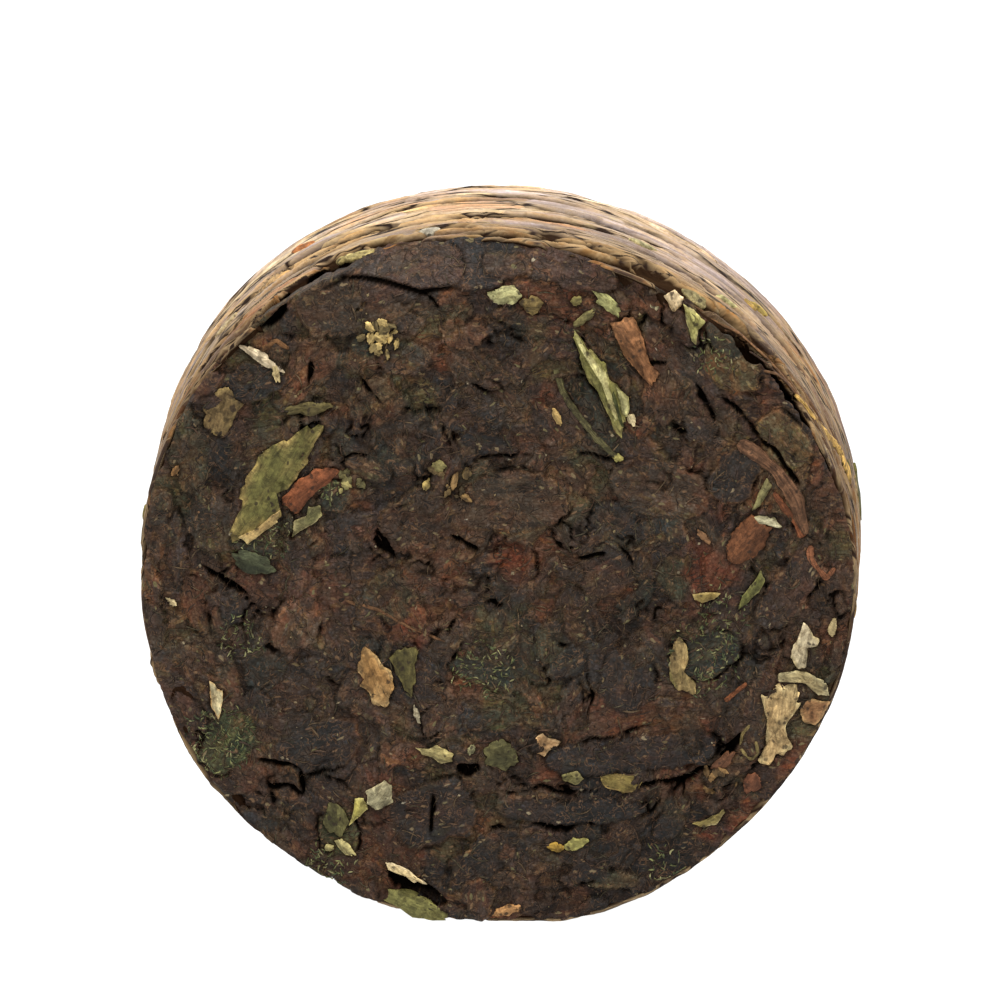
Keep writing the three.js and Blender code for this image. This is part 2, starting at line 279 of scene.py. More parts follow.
class Mat:
    """Pressed leaf on a raster. height is mm over the mould's face, gap is 1 in a crevice, which the shader
    paints with shade, smooth is 1 on glossy leaf, and place holds the distance along and across the leaf
    that lies on top, and its own draw. grain is how many times longer than wide the patches are in which
    edges tear."""

    def __init__(self, x, y, wraps, grain, seed):
        self.x, self.y, self.wraps, self.cell = x, y, wraps, x[1] - x[0]
        self.grid = np.meshgrid(x, y)
        self.random = np.random.default_rng(seed)
        shape = self.grid[0].shape
        self.height, self.gap, self.smooth = np.zeros(shape), np.zeros(shape), np.zeros(shape)
        self.colour = np.zeros(shape + (3,))
        self.place = np.stack([*self.grid, np.full(shape, 0.5)], axis=-1)
        self.ragged = 0.6 * self.noise(0.55, seed, 1, grain) + 0.4 * self.noise(0.2, seed + 1, 1, grain)
        self.patchy = self.noise(0.9, seed + 2, 1, grain)

    def noise(self, cell, seed, octaves=1, stretch=1.0):
        """Noise over the raster, stretched along x. On a mat that wraps, its end fades into its start."""
        x, y = self.grid
        values = rough_noise(x / stretch, y, cell, seed, octaves)
        if self.wraps:
            girth = len(self.x) * self.cell
            again = rough_noise((x - girth) / stretch, y, cell, seed, octaves)
            values = values + (again - values) * smooth_step((x - girth + SEAM) / SEAM)
        return values

    def window(self, x, y, reach_x, reach_y):
        """The raster cells within reach of a point, and how far right of it and above it each lies."""
        column, row = round((x - self.x[0]) / self.cell), round((y - self.y[0]) / self.cell)
        wide, tall = int(reach_x / self.cell) + 1, int(reach_y / self.cell) + 1
        columns, rows = np.arange(column - wide, column + wide + 1), np.arange(row - tall, row + tall + 1)
        rows = rows[(rows >= 0) & (rows < len(self.y))]
        if not self.wraps:
            columns = columns[(columns >= 0) & (columns < len(self.x))]
        right = self.x[0] + columns * self.cell - x
        return np.ix_(rows, columns % len(self.x)), *np.meshgrid(right, self.y[rows] - y)

    def lay(self, leaf):
        """Inside a blunt oval with a torn edge the height becomes the leaf's own plane, with wrinkles along
        it. Just outside the edge the mat sinks into a gap, patch by patch."""
        turn = np.radians(leaf.turn)
        half_long, half_wide = leaf.length / 2, leaf.width / 2
        reach_x = abs(np.cos(turn)) * half_long + abs(np.sin(turn)) * half_wide + 0.5
        reach_y = abs(np.sin(turn)) * half_long + abs(np.cos(turn)) * half_wide + 0.5
        cells, right, up = self.window(leaf.x, leaf.y, reach_x, reach_y)
        along, across = turned(right, up, -turn)
        across = across - leaf.bend * (along**2 - half_long**2 / 3)
        a, b, n = np.abs(along / half_long) + 1e-9, np.abs(across / half_wide) + 1e-9, leaf.blunt
        size = (a**n + b**n) ** (1 / n)
        slope = size ** (1 - n) * np.hypot(a ** (n - 1) / half_long, b ** (n - 1) / half_wide)
        inside = (1 - size) / slope + leaf.tear * self.ragged[cells]
        cover = smooth_step((inside + EDGE_SOFTNESS) / (2 * EDGE_SOFTNESS))
        seed = self.random.integers(1 << 30)
        wrinkles = noise(along / 5, across, 0.28, seed) + 0.6 * noise(along / 4, across, 0.13, seed + 1)
        top = leaf.level + leaf.lean[0] * along + leaf.lean[1] * across + leaf.wrinkle * wrinkles
        broken = smooth_step(1.8 * self.patchy[cells])
        gap = np.exp(-(((inside + 0.05) / GAP_WIDTH) ** 2)) * broken
        self.height[cells] += (top - self.height[cells]) * cover - leaf.gap * gap
        # the gap mark, which the shader paints as shade in the crevice
        dark = np.clip(leaf.gap / FULL_GAP, 0, 1) * gap
        self.gap[cells] = np.maximum(self.gap[cells] * (1 - cover), dark)
        self.smooth[cells] += (leaf.smooth - self.smooth[cells]) * cover
        # Painted highlight: a pale band just inside the torn edge, as where the edge catches the light.
        frayed_highlight = leaf.fray * np.exp(-((np.maximum(inside, 0) / FRAY_HIGHLIGHT_WIDTH) ** 2)) * (1 - broken)
        tone = leaf.colour * (1 + 0.2 * wrinkles[..., None])
        share = np.maximum(cover * leaf.cover, frayed_highlight * cover)[..., None]
        tone = tone + (FRAYED_EDGE_HIGHLIGHT - tone) * frayed_highlight[..., None]
        self.colour[cells] += (tone - self.colour[cells]) * share
        place = np.stack([along, across, np.full_like(along, self.random.uniform())], axis=-1)
        self.place[cells] = np.where(cover[..., None] > 0.5, place, self.place[cells])

    def slit(self, x, y, length, width, turn, depth, bend=0.0, lip=None, edge=SLIT_EDGE):
        """A gap that has drawn open: a lens that wanders and changes width by noise, as deep as a trench.
        Its sides slope over the width of edge. Its lips may be raised and have a colour, patch by patch."""
        turn = np.radians(turn)
        reach = length / 2 + width
        cells, right, up = self.window(x, y, reach, reach)
        along, across = turned(right, up, -turn)
        across = across - bend * (along**2 - length**2 / 12)
        across = across + SLIT_WANDER * self.patchy[cells] + SLIT_JITTER * self.ragged[cells]
        uneven = between(0.45, 1.4, smooth_step(0.5 + 1.3 * self.ragged[cells]))
        half = width / 2 * np.clip(1 - (2 * along / length) ** 2, 0, 1) * uneven
        share = smooth_step((half - np.abs(across)) / edge + 0.5) * smooth_step(half / edge)
        if lip is not None:
            beside = np.exp(-(((np.abs(across) - half - LIP_AWAY) / LIP_SPREAD) ** 2))
            beside = beside * smooth_step((half - 0.02) / 0.04) * smooth_step(0.55 + 1.6 * self.patchy[cells])
            self.colour[cells] += LIP_SHARE * (lip - self.colour[cells]) * beside[..., None]
            self.height[cells] += LIP_HEIGHT * beside
        self.height[cells] -= depth * share
        # the slit also gets the gap mark: painted shade in the shader
        self.gap[cells] = np.maximum(self.gap[cells], share)

    def shade(self, edge, reach, depth):
        """A dark ring in the mat round a flake's outline, a little below it, where its shadow falls."""
        middle = (edge.min(0) + edge.max(0)) / 2
        cells, right, up = self.window(*middle, *(np.ptp(edge, axis=0) / 2 + 3 * reach))
        corners = edge - middle - (0, 0.4 * reach)
        off = np.hypot(right[..., None] - corners[:, 0], up[..., None] - corners[:, 1]).min(-1)
        uneven = depth * smooth_step(0.7 + 1.2 * self.ragged[cells])
        self.gap[cells] = np.maximum(self.gap[cells], uneven * np.exp(-((off / reach) ** 2)))

    def sample(self, x, y):
        """Height, gap, smoothness and colour blended from the four cells around, and the nearest place."""
        column = (x - self.x[0]) / self.cell
        row = np.clip((y - self.y[0]) / self.cell, 0, len(self.y) - 1.001)
        column = column % len(self.x) if self.wraps else np.clip(column, 0, len(self.x) - 1.001)
        c, r = column.astype(int), row.astype(int)
        right, up = column - c, row - r
        c, beyond = c % len(self.x), (c + 1) % len(self.x)

        def blend(values):
            """The four cells, each weighed by how near it is."""
            w, v = (right[..., None], up[..., None]) if values.ndim == 3 else (right, up)
            lower = values[r, c] * (1 - w) + values[r, beyond] * w
            return lower * (1 - v) + (values[r + 1, c] * (1 - w) + values[r + 1, beyond] * w) * v

        return {
            "height": blend(self.height),
            "gap": blend(self.gap),
            "smooth": blend(self.smooth),
            "leaf_colour": blend(self.colour),
            "leaf_place": self.place[r, c],
        }


# %% [markdown]
# ## The leaf of the two faces
# The large leaves follow the CAD model's rule, so that solid and looks agree: a sunflower spiral, lying
# along the rim near the edge and any way in the middle. Between and over them come hundreds of smaller
# scraps. What stands out on the front of the real cake is listed: place, length, width, turn and colour.

# %% Leaf colours
# the colour of the painted highlight along torn leaf edges
FRAYED_EDGE_HIGHLIGHT = seen(140, 108, 72)
CHOCOLATE, BROWN, CHARCOAL = seen(64, 50, 42), seen(76, 59, 46), seen(42, 38, 36)
RUST, OLIVE, BOTTLE = seen(98, 65, 46), seen(82, 74, 50), seen(46, 48, 38)
MOSS, RED_BROWN = seen(66, 72, 48), seen(108, 60, 38)
# share of the leaves, colour, smoothness
LEAF_KINDS = [(0.30, CHOCOLATE, 0.3), (0.25, BROWN, 0.2), (0.25, CHARCOAL, 0.9), (0.09, RUST, 0.2),
              (0.06, OLIVE, 0.4), (0.04, BOTTLE, 0.7), (0.01, MOSS, 0.1)]
GAP_DEPTHS = (0.0, 0.04, 0.1, 0.22)
LARGE_LEAF = 1.8
LARGE_LEAF_ODDS, SMALL_LEAF_ODDS = (0.3, 0.2, 0.25, 0.25), (0.55, 0.25, 0.13, 0.07)
GOLDEN_ANGLE = np.pi * (3 - np.sqrt(5))
FACE_LEAVES = 44
SMALL_LEAVES = 520
RIM_MARGIN = 1.6


def drawn_leaf(random, x, y, length, width, turn, level, kind=None):
    """A pressed leaf of that size and place, its other properties drawn. Large leaves have more of a gap."""
    large = length > LARGE_LEAF
    weights = [weight for weight, _, _ in LEAF_KINDS]
    _, colour, smooth = LEAF_KINDS[random.choice(len(LEAF_KINDS), p=weights) if kind is None else kind]
    return Leaf(
        x, y, length, width, turn, level,
        lean=random.normal(0, 0.035, 2),
        bend=random.normal(0, 0.03),
        blunt=random.uniform(1.6, 3.2),
        tear=random.uniform(0.2, 0.6),
        gap=random.choice(GAP_DEPTHS, p=LARGE_LEAF_ODDS if large else SMALL_LEAF_ODDS),
        fray=random.choice([0.0, 0.35, 0.75], p=[0.46, 0.3, 0.24]),
        wrinkle=random.uniform(0.012, 0.04) * (1.3 - smooth),
        colour=colour * (random.uniform(0.6, 1.45) if large else random.uniform(0.8, 1.25)),
        smooth=smooth,
        cover=random.uniform(0.35, 0.8) if large else random.uniform(0.15, 0.55),
    )


def spiral_leaves(random, first):
    """The CAD model's large leaves: leaf i at radius ~ sqrt(i) and angle i times the golden angle."""
    for i in range(first, first + FACE_LEAVES):
        share = np.sqrt((i - first + 0.5) / FACE_LEAVES)
        angle = i * GOLDEN_ANGLE
        reach = (RADIUS - RIM_MARGIN) * share
        length = between(3, 6.2, chance(i, 1) ** 2)
        swing = between(95, 25, share) * between(-1, 1, chance(i, 3))
        sunk = 0.32 * between(0.2, 0.9, chance(i, 4))
        yield drawn_leaf(random, *polar(reach, angle), length,
                         length * between(0.3, 0.55, chance(i, 2)), np.degrees(angle) + 90 + swing, -sunk)


def small_leaves(random, count):
    """Scraps anywhere on the face, many small and few large, turned along the rim near the edge."""
    for _ in range(count):
        share = np.sqrt(random.uniform())
        angle = random.uniform(0, 2 * np.pi)
        reach = (RADIUS - 0.3) * share
        length = 0.6 + 3.0 * random.uniform() ** 2.4
        turn = np.degrees(angle) + 90 + random.normal(0, between(70, 22, share))
        yield drawn_leaf(random, *polar(reach, angle), length, length * random.uniform(0.25, 0.75), turn,
                         -random.uniform(0.0, 0.24))


print(f"{len(LEAF_KINDS)} kinds of leaf, {FACE_LEAVES} large leaves and {SMALL_LEAVES} scraps to a face")

# %% [markdown]
# ## What stands out on the front
# A few plates, cracks and red patches catch the eye on the real cake. Draws would put them anywhere, so
# they are listed one by one, in mm from the middle of the face.

# %% Plates, slits and patches of the front
FRONT_PLATES = [
    # x, y, length, width, turn, level, kind in LEAF_KINDS
    (5.4, -6.8, 7.0, 1.5, 7, -0.03, 2),
    (3.1, -9.2, 5.8, 1.1, 1, -0.03, 2),
    (5.2, -3.8, 2.7, 2.3, 80, -0.08, 2),
    (-5.6, 11.4, 4.6, 2.4, 14, -0.02, 1),
    (11.7, 0.1, 3.9, 1.6, 58, -0.04, 0),
    (9.3, 9.1, 2.9, 2.0, -50, -0.06, 4),
    (11.3, 6.1, 2.6, 1.7, -55, -0.05, 4),
    (-9.5, 8.2, 2.6, 1.5, 15, -0.1, 2),
    (0.5, 3.4, 4.8, 2.4, 4, -0.06, 1),
    (-2.5, -9.3, 3.4, 2.6, 20, -0.06, 2),
    (6.5, 4.0, 4.2, 2.4, -15, -0.08, 1),
    (3.86, 7.02, 3.6, 1.1, -62, -0.02, 5),
    (-7.0, -6.6, 3.6, 2.2, 15, -0.05, 2),
    (9.4, 4.6, 2.4, 1.7, 60, -0.05, 2),
    (-10.6, -6.5, 2.8, 1.9, 60, -0.1, 6),
    (8.4, -2.8, 2.6, 1.8, 30, -0.14, 5),
    (-0.4, -3.5, 2.6, 1.0, -15, -0.12, 5),
    (-9.6, 1.6, 2.0, 1.0, -25, -0.12, 5),
    (-6.2, -10.2, 1.7, 2.2, 20, -0.1, 6),
    (-6.3, 3.6, 1.5, 1.2, 60, -0.12, 5),
    (9.0, 10.2, 2.0, 1.2, -45, -0.12, 5),
    (-5.0, 9.9, 1.6, 1.2, 20, -0.1, 5),
    (-0.8, -13.0, 1.6, 1.4, 85, -0.03, 0),
]
FRONT_SLITS = [
    # x, y, length, width, turn, depth, and the bend of those that have one
    (2.3, -8.4, 5.6, 0.16, 0, 0.5),
    (7.1, -7.8, 4.2, 0.18, 16, 0.5, 0.03),
    (2.6, -9.8, 5.2, 0.16, -2, 0.5),
    (5.4, -5.9, 2.6, 0.14, 8, 0.4),
    (-10.7, 0.2, 2.8, 0.22, -29, 0.6),
    (-3.2, -12.5, 3.0, 0.5, -26, 0.8),
    (-2.6, 11.5, 1.2, 0.14, -43, 0.4),
    (-4.3, 1.7, 1.5, 0.4, -60, 0.5),
    (-2.5, -9.4, 2.4, 0.12, 88, 0.4, 0.05),
    (-1.1, -7.4, 1.0, 0.45, 10, 0.5),
    (-8.6, -7.35, 2.0, 0.2, -14, 0.4),
    (-7.6, -8.1, 1.2, 0.2, -80, 0.4),
    (-8.3, -8.4, 1.6, 0.24, -18, 0.4),
    (10.9, 5.6, 4.2, 0.2, -50, 0.4, -0.05),
    (8.2, 7.6, 2.2, 0.16, -60, 0.4),
    (-1.2, 1.7, 1.6, 0.16, -25, 0.4),
    (3.9, 5.3, 1.8, 0.12, 0, 0.4),
    (0.3, 5.35, 3.2, 0.1, 2, 0.3),
    (-1.8, -1.6, 0.8, 0.16, 60, 0.4),
    (3.8, 1.2, 1.4, 0.25, 15, 0.4, 0.1),
    (3.75, -4.3, 2.2, 0.12, 88, 0.35),
    (9.3, -6.4, 1.6, 0.3, 40, 0.5),
    (-8.65, 10.85, 1.8, 0.3, 42, 0.6),
    (-7.3, 8.6, 1.5, 0.14, 88, 0.4),
    (-4.9, 7.9, 1.8, 0.12, -58, 0.35, 0.08),
    (-0.6, 8.1, 2.4, 0.12, -10, 0.35, 0.05),
    (9.7, 6.9, 3.0, 0.16, -52, 0.4),
]
RED_PATCHES = [
    # x, y, reach
    (9.9, -9.8, 1.3),
    (0.5, 1.2, 0.9),
    (8.6, 0.8, 1.2),
    (12.0, -6.6, 0.7),
    (-3.4, -1.8, 0.9),
]
SUNK_LEAVES = [
    # angle, distance from the middle, length, width, kind in LEAF_KINDS
    (78, 13.2, 4.4, 1.5, 0),
    (94, 13.0, 4.4, 2.0, 2),
    (105, 13.0, 4.2, 1.9, 0),
    (88, 12.9, 2.0, 0.8, 1),
    (107, 13.4, 1.8, 0.5, 1),
]
print(f"on the front: {len(FRONT_PLATES)} plates, {len(FRONT_SLITS)} slits, {len(RED_PATCHES)} patches")

# %% [markdown]
# ## The rim of a face
# The corner between face and wall is crisp at the top and worn at the foot. At the top the wall's lip
# stands out over the face, and there a corner of the front layer has torn off and sunk. Booleans would cut
# such forms with hard edges. As functions of the angle round the rim they stay soft, and faces and wall
# both read them.

# %% Rim, lip and torn corner
FRONT_LIP, BACK_LIP = (52, 150), (10, 170)
LIP_ENDS = 14
SUNK_ANGLES = (70, 86, 104, 108, 112, 115)
SUNK_DROP = (0, 1.2, 2.1, 2.1, 1.5, 0)
SUNK_START = (0.05, 1.7, 1.75, 1.25, 0.75, 0.4)
CRACK = (92, 124)
CRACK_WIDTH = 0.09


def corner_round(angle):
    """How far the corner between face and wall is rounded: crisp at the top, worn at the foot, in mm."""
    return between(0.16, 0.28, smooth_step(0.5 + 0.8 * np.sin(angle)))


def overhang(angle, lip):
    """One between the two angles of a lip that stands out over the face, and nought elsewhere."""
    degrees = np.degrees(angle) % 360
    return smooth_step((degrees - lip[0]) / LIP_ENDS) * smooth_step((lip[1] - degrees) / LIP_ENDS)


def sunk_corner(angle, inside):
    """How far the torn-off corner at the top lies below the face, growing evenly from the tear to the wall,
    and how open the crack along the tear is. inside is the distance from the outline."""
    degrees = np.degrees(angle) % 360
    start = np.interp(degrees, SUNK_ANGLES, SUNK_START)
    slope = np.clip(1 - inside / start, 0, 1)
    crack = np.exp(-(((inside - start + 0.06) / CRACK_WIDTH) ** 2)) * overhang(angle, CRACK)
    return np.interp(degrees, SUNK_ANGLES, SUNK_DROP) * slope, crack


print(f"torn corner sinks {max(SUNK_DROP)} mm, from {SUNK_ANGLES[0]} to {SUNK_ANGLES[-1]} degrees")

# %% [markdown]
# ## Laying the two faces
# Sculpting such a face would take days. So it is laid as the press lays it: a rough bed, the large leaves,
# scraps over them, what is listed, and then slits, grain and the worn rim. The back, which doesn't show,
# is laid by the same rules from other draws.

# %% Face mats
FRONT_SEED, BACK_SEED, BACK_SLIT_SEED = 11, 12, 5
BACK_SPIRAL_START = 100
RASTER = 0.05
FACE_SKIN = 0.3
BED_RELIEF, GRAIN_RELIEF, DUST_RELIEF = 0.08, 0.05, 0.03
# colour, size of its patches, noise where they start, most of it
BED_TONES = ((CHARCOAL, 2.4, -0.1, 0.8), (RUST, 2.0, 0.05, 0.85), (OLIVE, 1.8, 0.12, 0.85))
BLOTCHES = 0.4
FACE_FOOT_PAINTED_SHADE, FACE_TOP_PAINTED_LIGHT = 0.25, 0.14
WARMTH = np.array((0.18, 0.02, -0.05))
RED_SHARE, RED_RAGGEDNESS = 0.8, 0.6
CREVICES = 30
RIM_WEAR, LIP_DIP, CRACK_DEPTH = 0.8, 0.2, 0.5


def drawn_crevices(random, count):
    """Short bent cracks anywhere on a face."""
    for _ in range(count):
        reach, angle = (RADIUS - 0.8) * np.sqrt(random.uniform()), random.uniform(0, 2 * np.pi)
        yield (*polar(reach, angle), random.uniform(0.6, 2.2), random.uniform(0.05, 0.1),
               random.normal(0, 45), random.uniform(0.15, 0.3), random.normal(0, 0.2))


def bed_colour(mat, seed):
    """The ground of a face: chocolate that drifts to charcoal, rust and olive in ragged patches."""
    colour = CHOCOLATE * (1 + 0.45 * mat.noise(2.2, seed, 4))[..., None]
    for k, (tone, cell, start, most) in enumerate(BED_TONES):
        share = most * smooth_step(2.5 * (mat.noise(cell, seed + 10 * k + 10, 5) - start))
        colour = colour + (tone - colour) * share[..., None]
    return colour


def sunk_leaves(random):
    """Smooth leaf on the torn-off corner, whose middle line curves as the outline does."""
    for degrees, reach, length, width, kind in SUNK_LEAVES:
        leaf = drawn_leaf(random, *polar(reach, np.radians(degrees)), length, width, degrees + 90, 0.0, kind)
        yield leaf._replace(bend=0.5 / reach, gap=0.08, tear=0.25, cover=0.8, smooth=0.6,
                            colour=0.8 * leaf.colour)


def pressed_face(seed, first, plates, slits, side):
    """One face: a rough bed, the large leaves from number first on, the scraps, what is listed, then gaps,
    grain and the worn rim. side is 1 for the front and -1 for the back, where x runs the other way."""
    axis = np.arange(-RADIUS - 0.6, RADIUS + 0.6, RASTER)
    mat = Mat(axis, axis, False, 1.0, seed)
    x, y = mat.grid
    mat.height += -FACE_SKIN + BED_RELIEF * mat.noise(1.2, seed + 3, 4)
    mat.colour += bed_colour(mat, seed + 40)
    leaves = [*spiral_leaves(mat.random, first), *small_leaves(mat.random, SMALL_LEAVES)]
    order = np.argsort([-leaf.length * mat.random.uniform(0.3, 1.6) for leaf in leaves])
    for k in order:
        mat.lay(leaves[k])
    for cx, cy, length, width, turn, level, kind in plates:
        leaf = drawn_leaf(mat.random, cx, cy, length, width, turn, level, kind)
        mat.lay(leaf._replace(gap=0.16, tear=0.3, cover=0.9, colour=LEAF_KINDS[kind][1]))
    for leaf in small_leaves(mat.random, SMALL_LEAVES // 4):
        mat.lay(leaf._replace(length=leaf.length * 0.6, width=leaf.width * 0.5))
    for leaf in sunk_leaves(mat.random) if side > 0 else ():
        mat.lay(leaf)
    for slit in [*slits, *drawn_crevices(mat.random, CREVICES)]:
        mat.slit(*slit)
    grain = GRAIN_RELIEF * mat.noise(0.45, seed + 5, 3) + DUST_RELIEF * mat.noise(0.14, seed + 6)
    mat.height += (1 - 0.6 * mat.smooth) * grain
    blotches = BLOTCHES * mat.noise(3.4, seed + 7, 2)
    # blotches of tone, and painted shade that darkens the lower part of the face
    mat.colour *= (1 + blotches - FACE_FOOT_PAINTED_SHADE * smooth_step((-y - 4) / 8))[..., None]
    mat.colour *= 1 + WARMTH * mat.noise(3.0, seed + 9, 2)[..., None]
    # painted light: the upper part of the face is lighter, as if lit from above
    mat.colour *= 1 + FACE_TOP_PAINTED_LIGHT * smooth_step((y - 4) / 8)[..., None]
    ragged = RED_RAGGEDNESS * mat.noise(0.6, seed + 13, 3)
    for cx, cy, reach in RED_PATCHES if side > 0 else ():
        share = smooth_step(1.3 - np.hypot(x - cx, y - cy) / reach + ragged)
        mat.colour += RED_SHARE * share[..., None] * (RED_BROWN - mat.colour)
    angle, reach = np.arctan2(y, side * x), np.hypot(x, y)
    inside = outline(angle) - reach
    worn = corner_round(angle)
    fall = worn - np.sqrt(np.maximum(worn**2 - np.clip(worn - inside, 0, worn) ** 2, 0))
    under_lip = overhang(angle, FRONT_LIP if side > 0 else BACK_LIP)
    mat.height -= RIM_WEAR * fall * (1 - under_lip) + LIP_DIP * under_lip * smooth_step((1.9 - inside) / 1.5)
    if side > 0:
        drop, crack = sunk_corner(angle, inside)
        mat.height -= drop + CRACK_DEPTH * crack
        # the crack along the tear gets the gap mark, painted shade in the shader
        mat.gap = np.maximum(mat.gap, crack)
    return mat


front_mat = pressed_face(FRONT_SEED, 0, FRONT_PLATES, FRONT_SLITS, 1)
slit_draws = np.random.default_rng(BACK_SLIT_SEED)
BACK_SLITS = [(*slit_draws.uniform(-8.5, 8.5, 2), slit_draws.uniform(1.2, 5.0), slit_draws.uniform(0.1, 0.25),
               slit_draws.uniform(-90, 90), 0.5, slit_draws.normal(0, 0.03)) for _ in range(18)]
back_mat = pressed_face(BACK_SEED, BACK_SPIRAL_START, [], BACK_SLITS, -1)
print(f"front relief {front_mat.height.min():.2f} to {front_mat.height.max():.2f} mm")

# %% [markdown]
# ## The leaf of the wall
# The mould's ring has drawn the leaf out into long strips round the cake, smoothed and greyed by rubbing.
# Long slits run between them, with ginger lips, and near the front the strips are darker.
# The wall is unrolled into a flat mat, so that strips are laid on it just as leaves are laid on a face.

# %% Wall strips
STONE, MOUSE, FAWN = on_wall(182, 156, 126), on_wall(158, 138, 120), on_wall(198, 168, 126)
GINGER, STRAW, UMBER = on_wall(188, 138, 96), on_wall(206, 180, 132), on_wall(128, 98, 74)
# share of the strips, colour, smoothness
WALL_KINDS = [(0.32, STONE, 0.8), (0.36, MOUSE, 0.9), (0.10, FAWN, 0.6), (0.03, GINGER, 0.4),
              (0.07, STRAW, 0.3), (0.12, UMBER, 0.4)]
WALL_SIDE_PAINTED_LIGHT, WALL_TOP_PAINTED_LIGHT = np.array((0.96, 0.99, 1.2)), np.array((2.08, 2.2, 2.6))
WALL_FRONT = np.array((0.3, 0.23, 0.14))
PALE_LEFT, BROWN_RIGHT = np.array((1.5, 1.5, 1.5)), np.array((0.86, 0.7, 0.56))
FOOT_RIM_PAINTED_SHADE = 0.9
STREAKS = 0.4
FRONT_DIMNESS = 8.5
WALL_RISE = 0.06
WALL_STRIPS = 32
SMALL_STRIPS = 330
WALL_SLITS = 90
# the edge is two steps of the ring's mesh, so that it doesn't show as teeth
WALL_SLIT = {"lip": on_wall(214, 172, 108), "edge": 0.2}
SLIT_DEPTH, PIT_DEPTH, NAMED_SLIT_DEPTH = 0.3, 0.32, 0.4
FRONT_PITS = 120
PIT_REACH = 3.2
WALL_SEED = 21
WALL_GRAIN = 5.0
FIRST_STRIP = 300


def at_angle(degrees):
    """The place along the wall's girth of an angle on the clock face, counted from the right."""
    return (-np.radians(degrees) * RADIUS) % GIRTH


NAMED_SLITS = [
    # angle, depth behind the front face, length, width, turn
    (105, 5.6, 3.6, 0.2, 0),
    (103, 4.7, 4.6, 0.2, -2),
    (98, 3.2, 3.0, 0.3, -8),
    (90, 2.2, 3.2, 0.35, -9),
    (84, 1.9, 2.6, 0.35, -8),
    (77, 1.0, 3.0, 0.35, -6),
    (68, 0.9, 4.2, 0.4, -2),
    (62, 1.7, 3.6, 0.35, 0),
    (72, 2.2, 3.2, 0.4, -3),
    (58, 0.8, 3.4, 0.35, 0),
    (52, 1.5, 4.0, 0.4, 0),
    (47, 2.2, 4.6, 0.4, 0),
    (36, 2.0, 5.0, 0.4, 2),
    (28, 2.8, 5.0, 0.35, 0),
    (133, 1.6, 4.0, 0.35, 0),
    (142, 1.3, 5.0, 0.35, 0),
    (112, 3.0, 3.6, 0.3, 0),
    (83, 3.2, 5.0, 0.2, 0),
    (78, 6.5, 4.5, 0.22, 0),
    (66, 6.2, 5.5, 0.2, 0),
    (56, 4.2, 7.0, 0.25, 0),
    (58, 7.7, 7.0, 0.2, 0),
    (54, 2.3, 3.6, 0.25, 0),
    (42, 3.0, 7.0, 0.25, 0),
    (40, 6.0, 6.0, 0.2, 0),
    (122, 4.4, 6.0, 0.2, 0),
    (128, 6.5, 7.0, 0.2, 0),
    (140, 3.4, 6.0, 0.2, 0),
]
NAMED_STRIPS = [
    # angle, depth behind the front face, length, width, colour
    (112, 4.4, 9.0, 2.2, MOUSE),
    (124, 6.8, 9.0, 1.8, MOUSE),
    (104, 3.2, 7.0, 1.4, MOUSE),
    (133, 4.2, 8.0, 1.6, MOUSE),
    (70, 5.2, 8.0, 1.4, MOUSE),
    (94, 6.6, 3.8, 1.1, GINGER),
]


def drawn_strip(random, x, y, length, width, level):
    """A strip of leaf along the wall, its other properties drawn."""
    _, colour, smooth = WALL_KINDS[random.choice(len(WALL_KINDS), p=[w for w, _, _ in WALL_KINDS])]
    return Leaf(
        x, y, length, width, random.normal(0, 2.5), level,
        lean=(0.0, random.normal(0, 0.03)),
        bend=random.normal(0, 0.004),
        blunt=random.uniform(1.8, 3.0),
        tear=random.uniform(0.05, 0.25),
        gap=random.choice([0.0, 0.06, 0.16], p=[0.4, 0.35, 0.25]),
        fray=random.choice([0.0, 0.4, 0.9], p=[0.5, 0.3, 0.2]),
        wrinkle=random.uniform(0.008, 0.03),
        colour=colour * random.uniform(0.8, 1.2),
        smooth=smooth,
        cover=random.uniform(0.5, 1.0),
    )


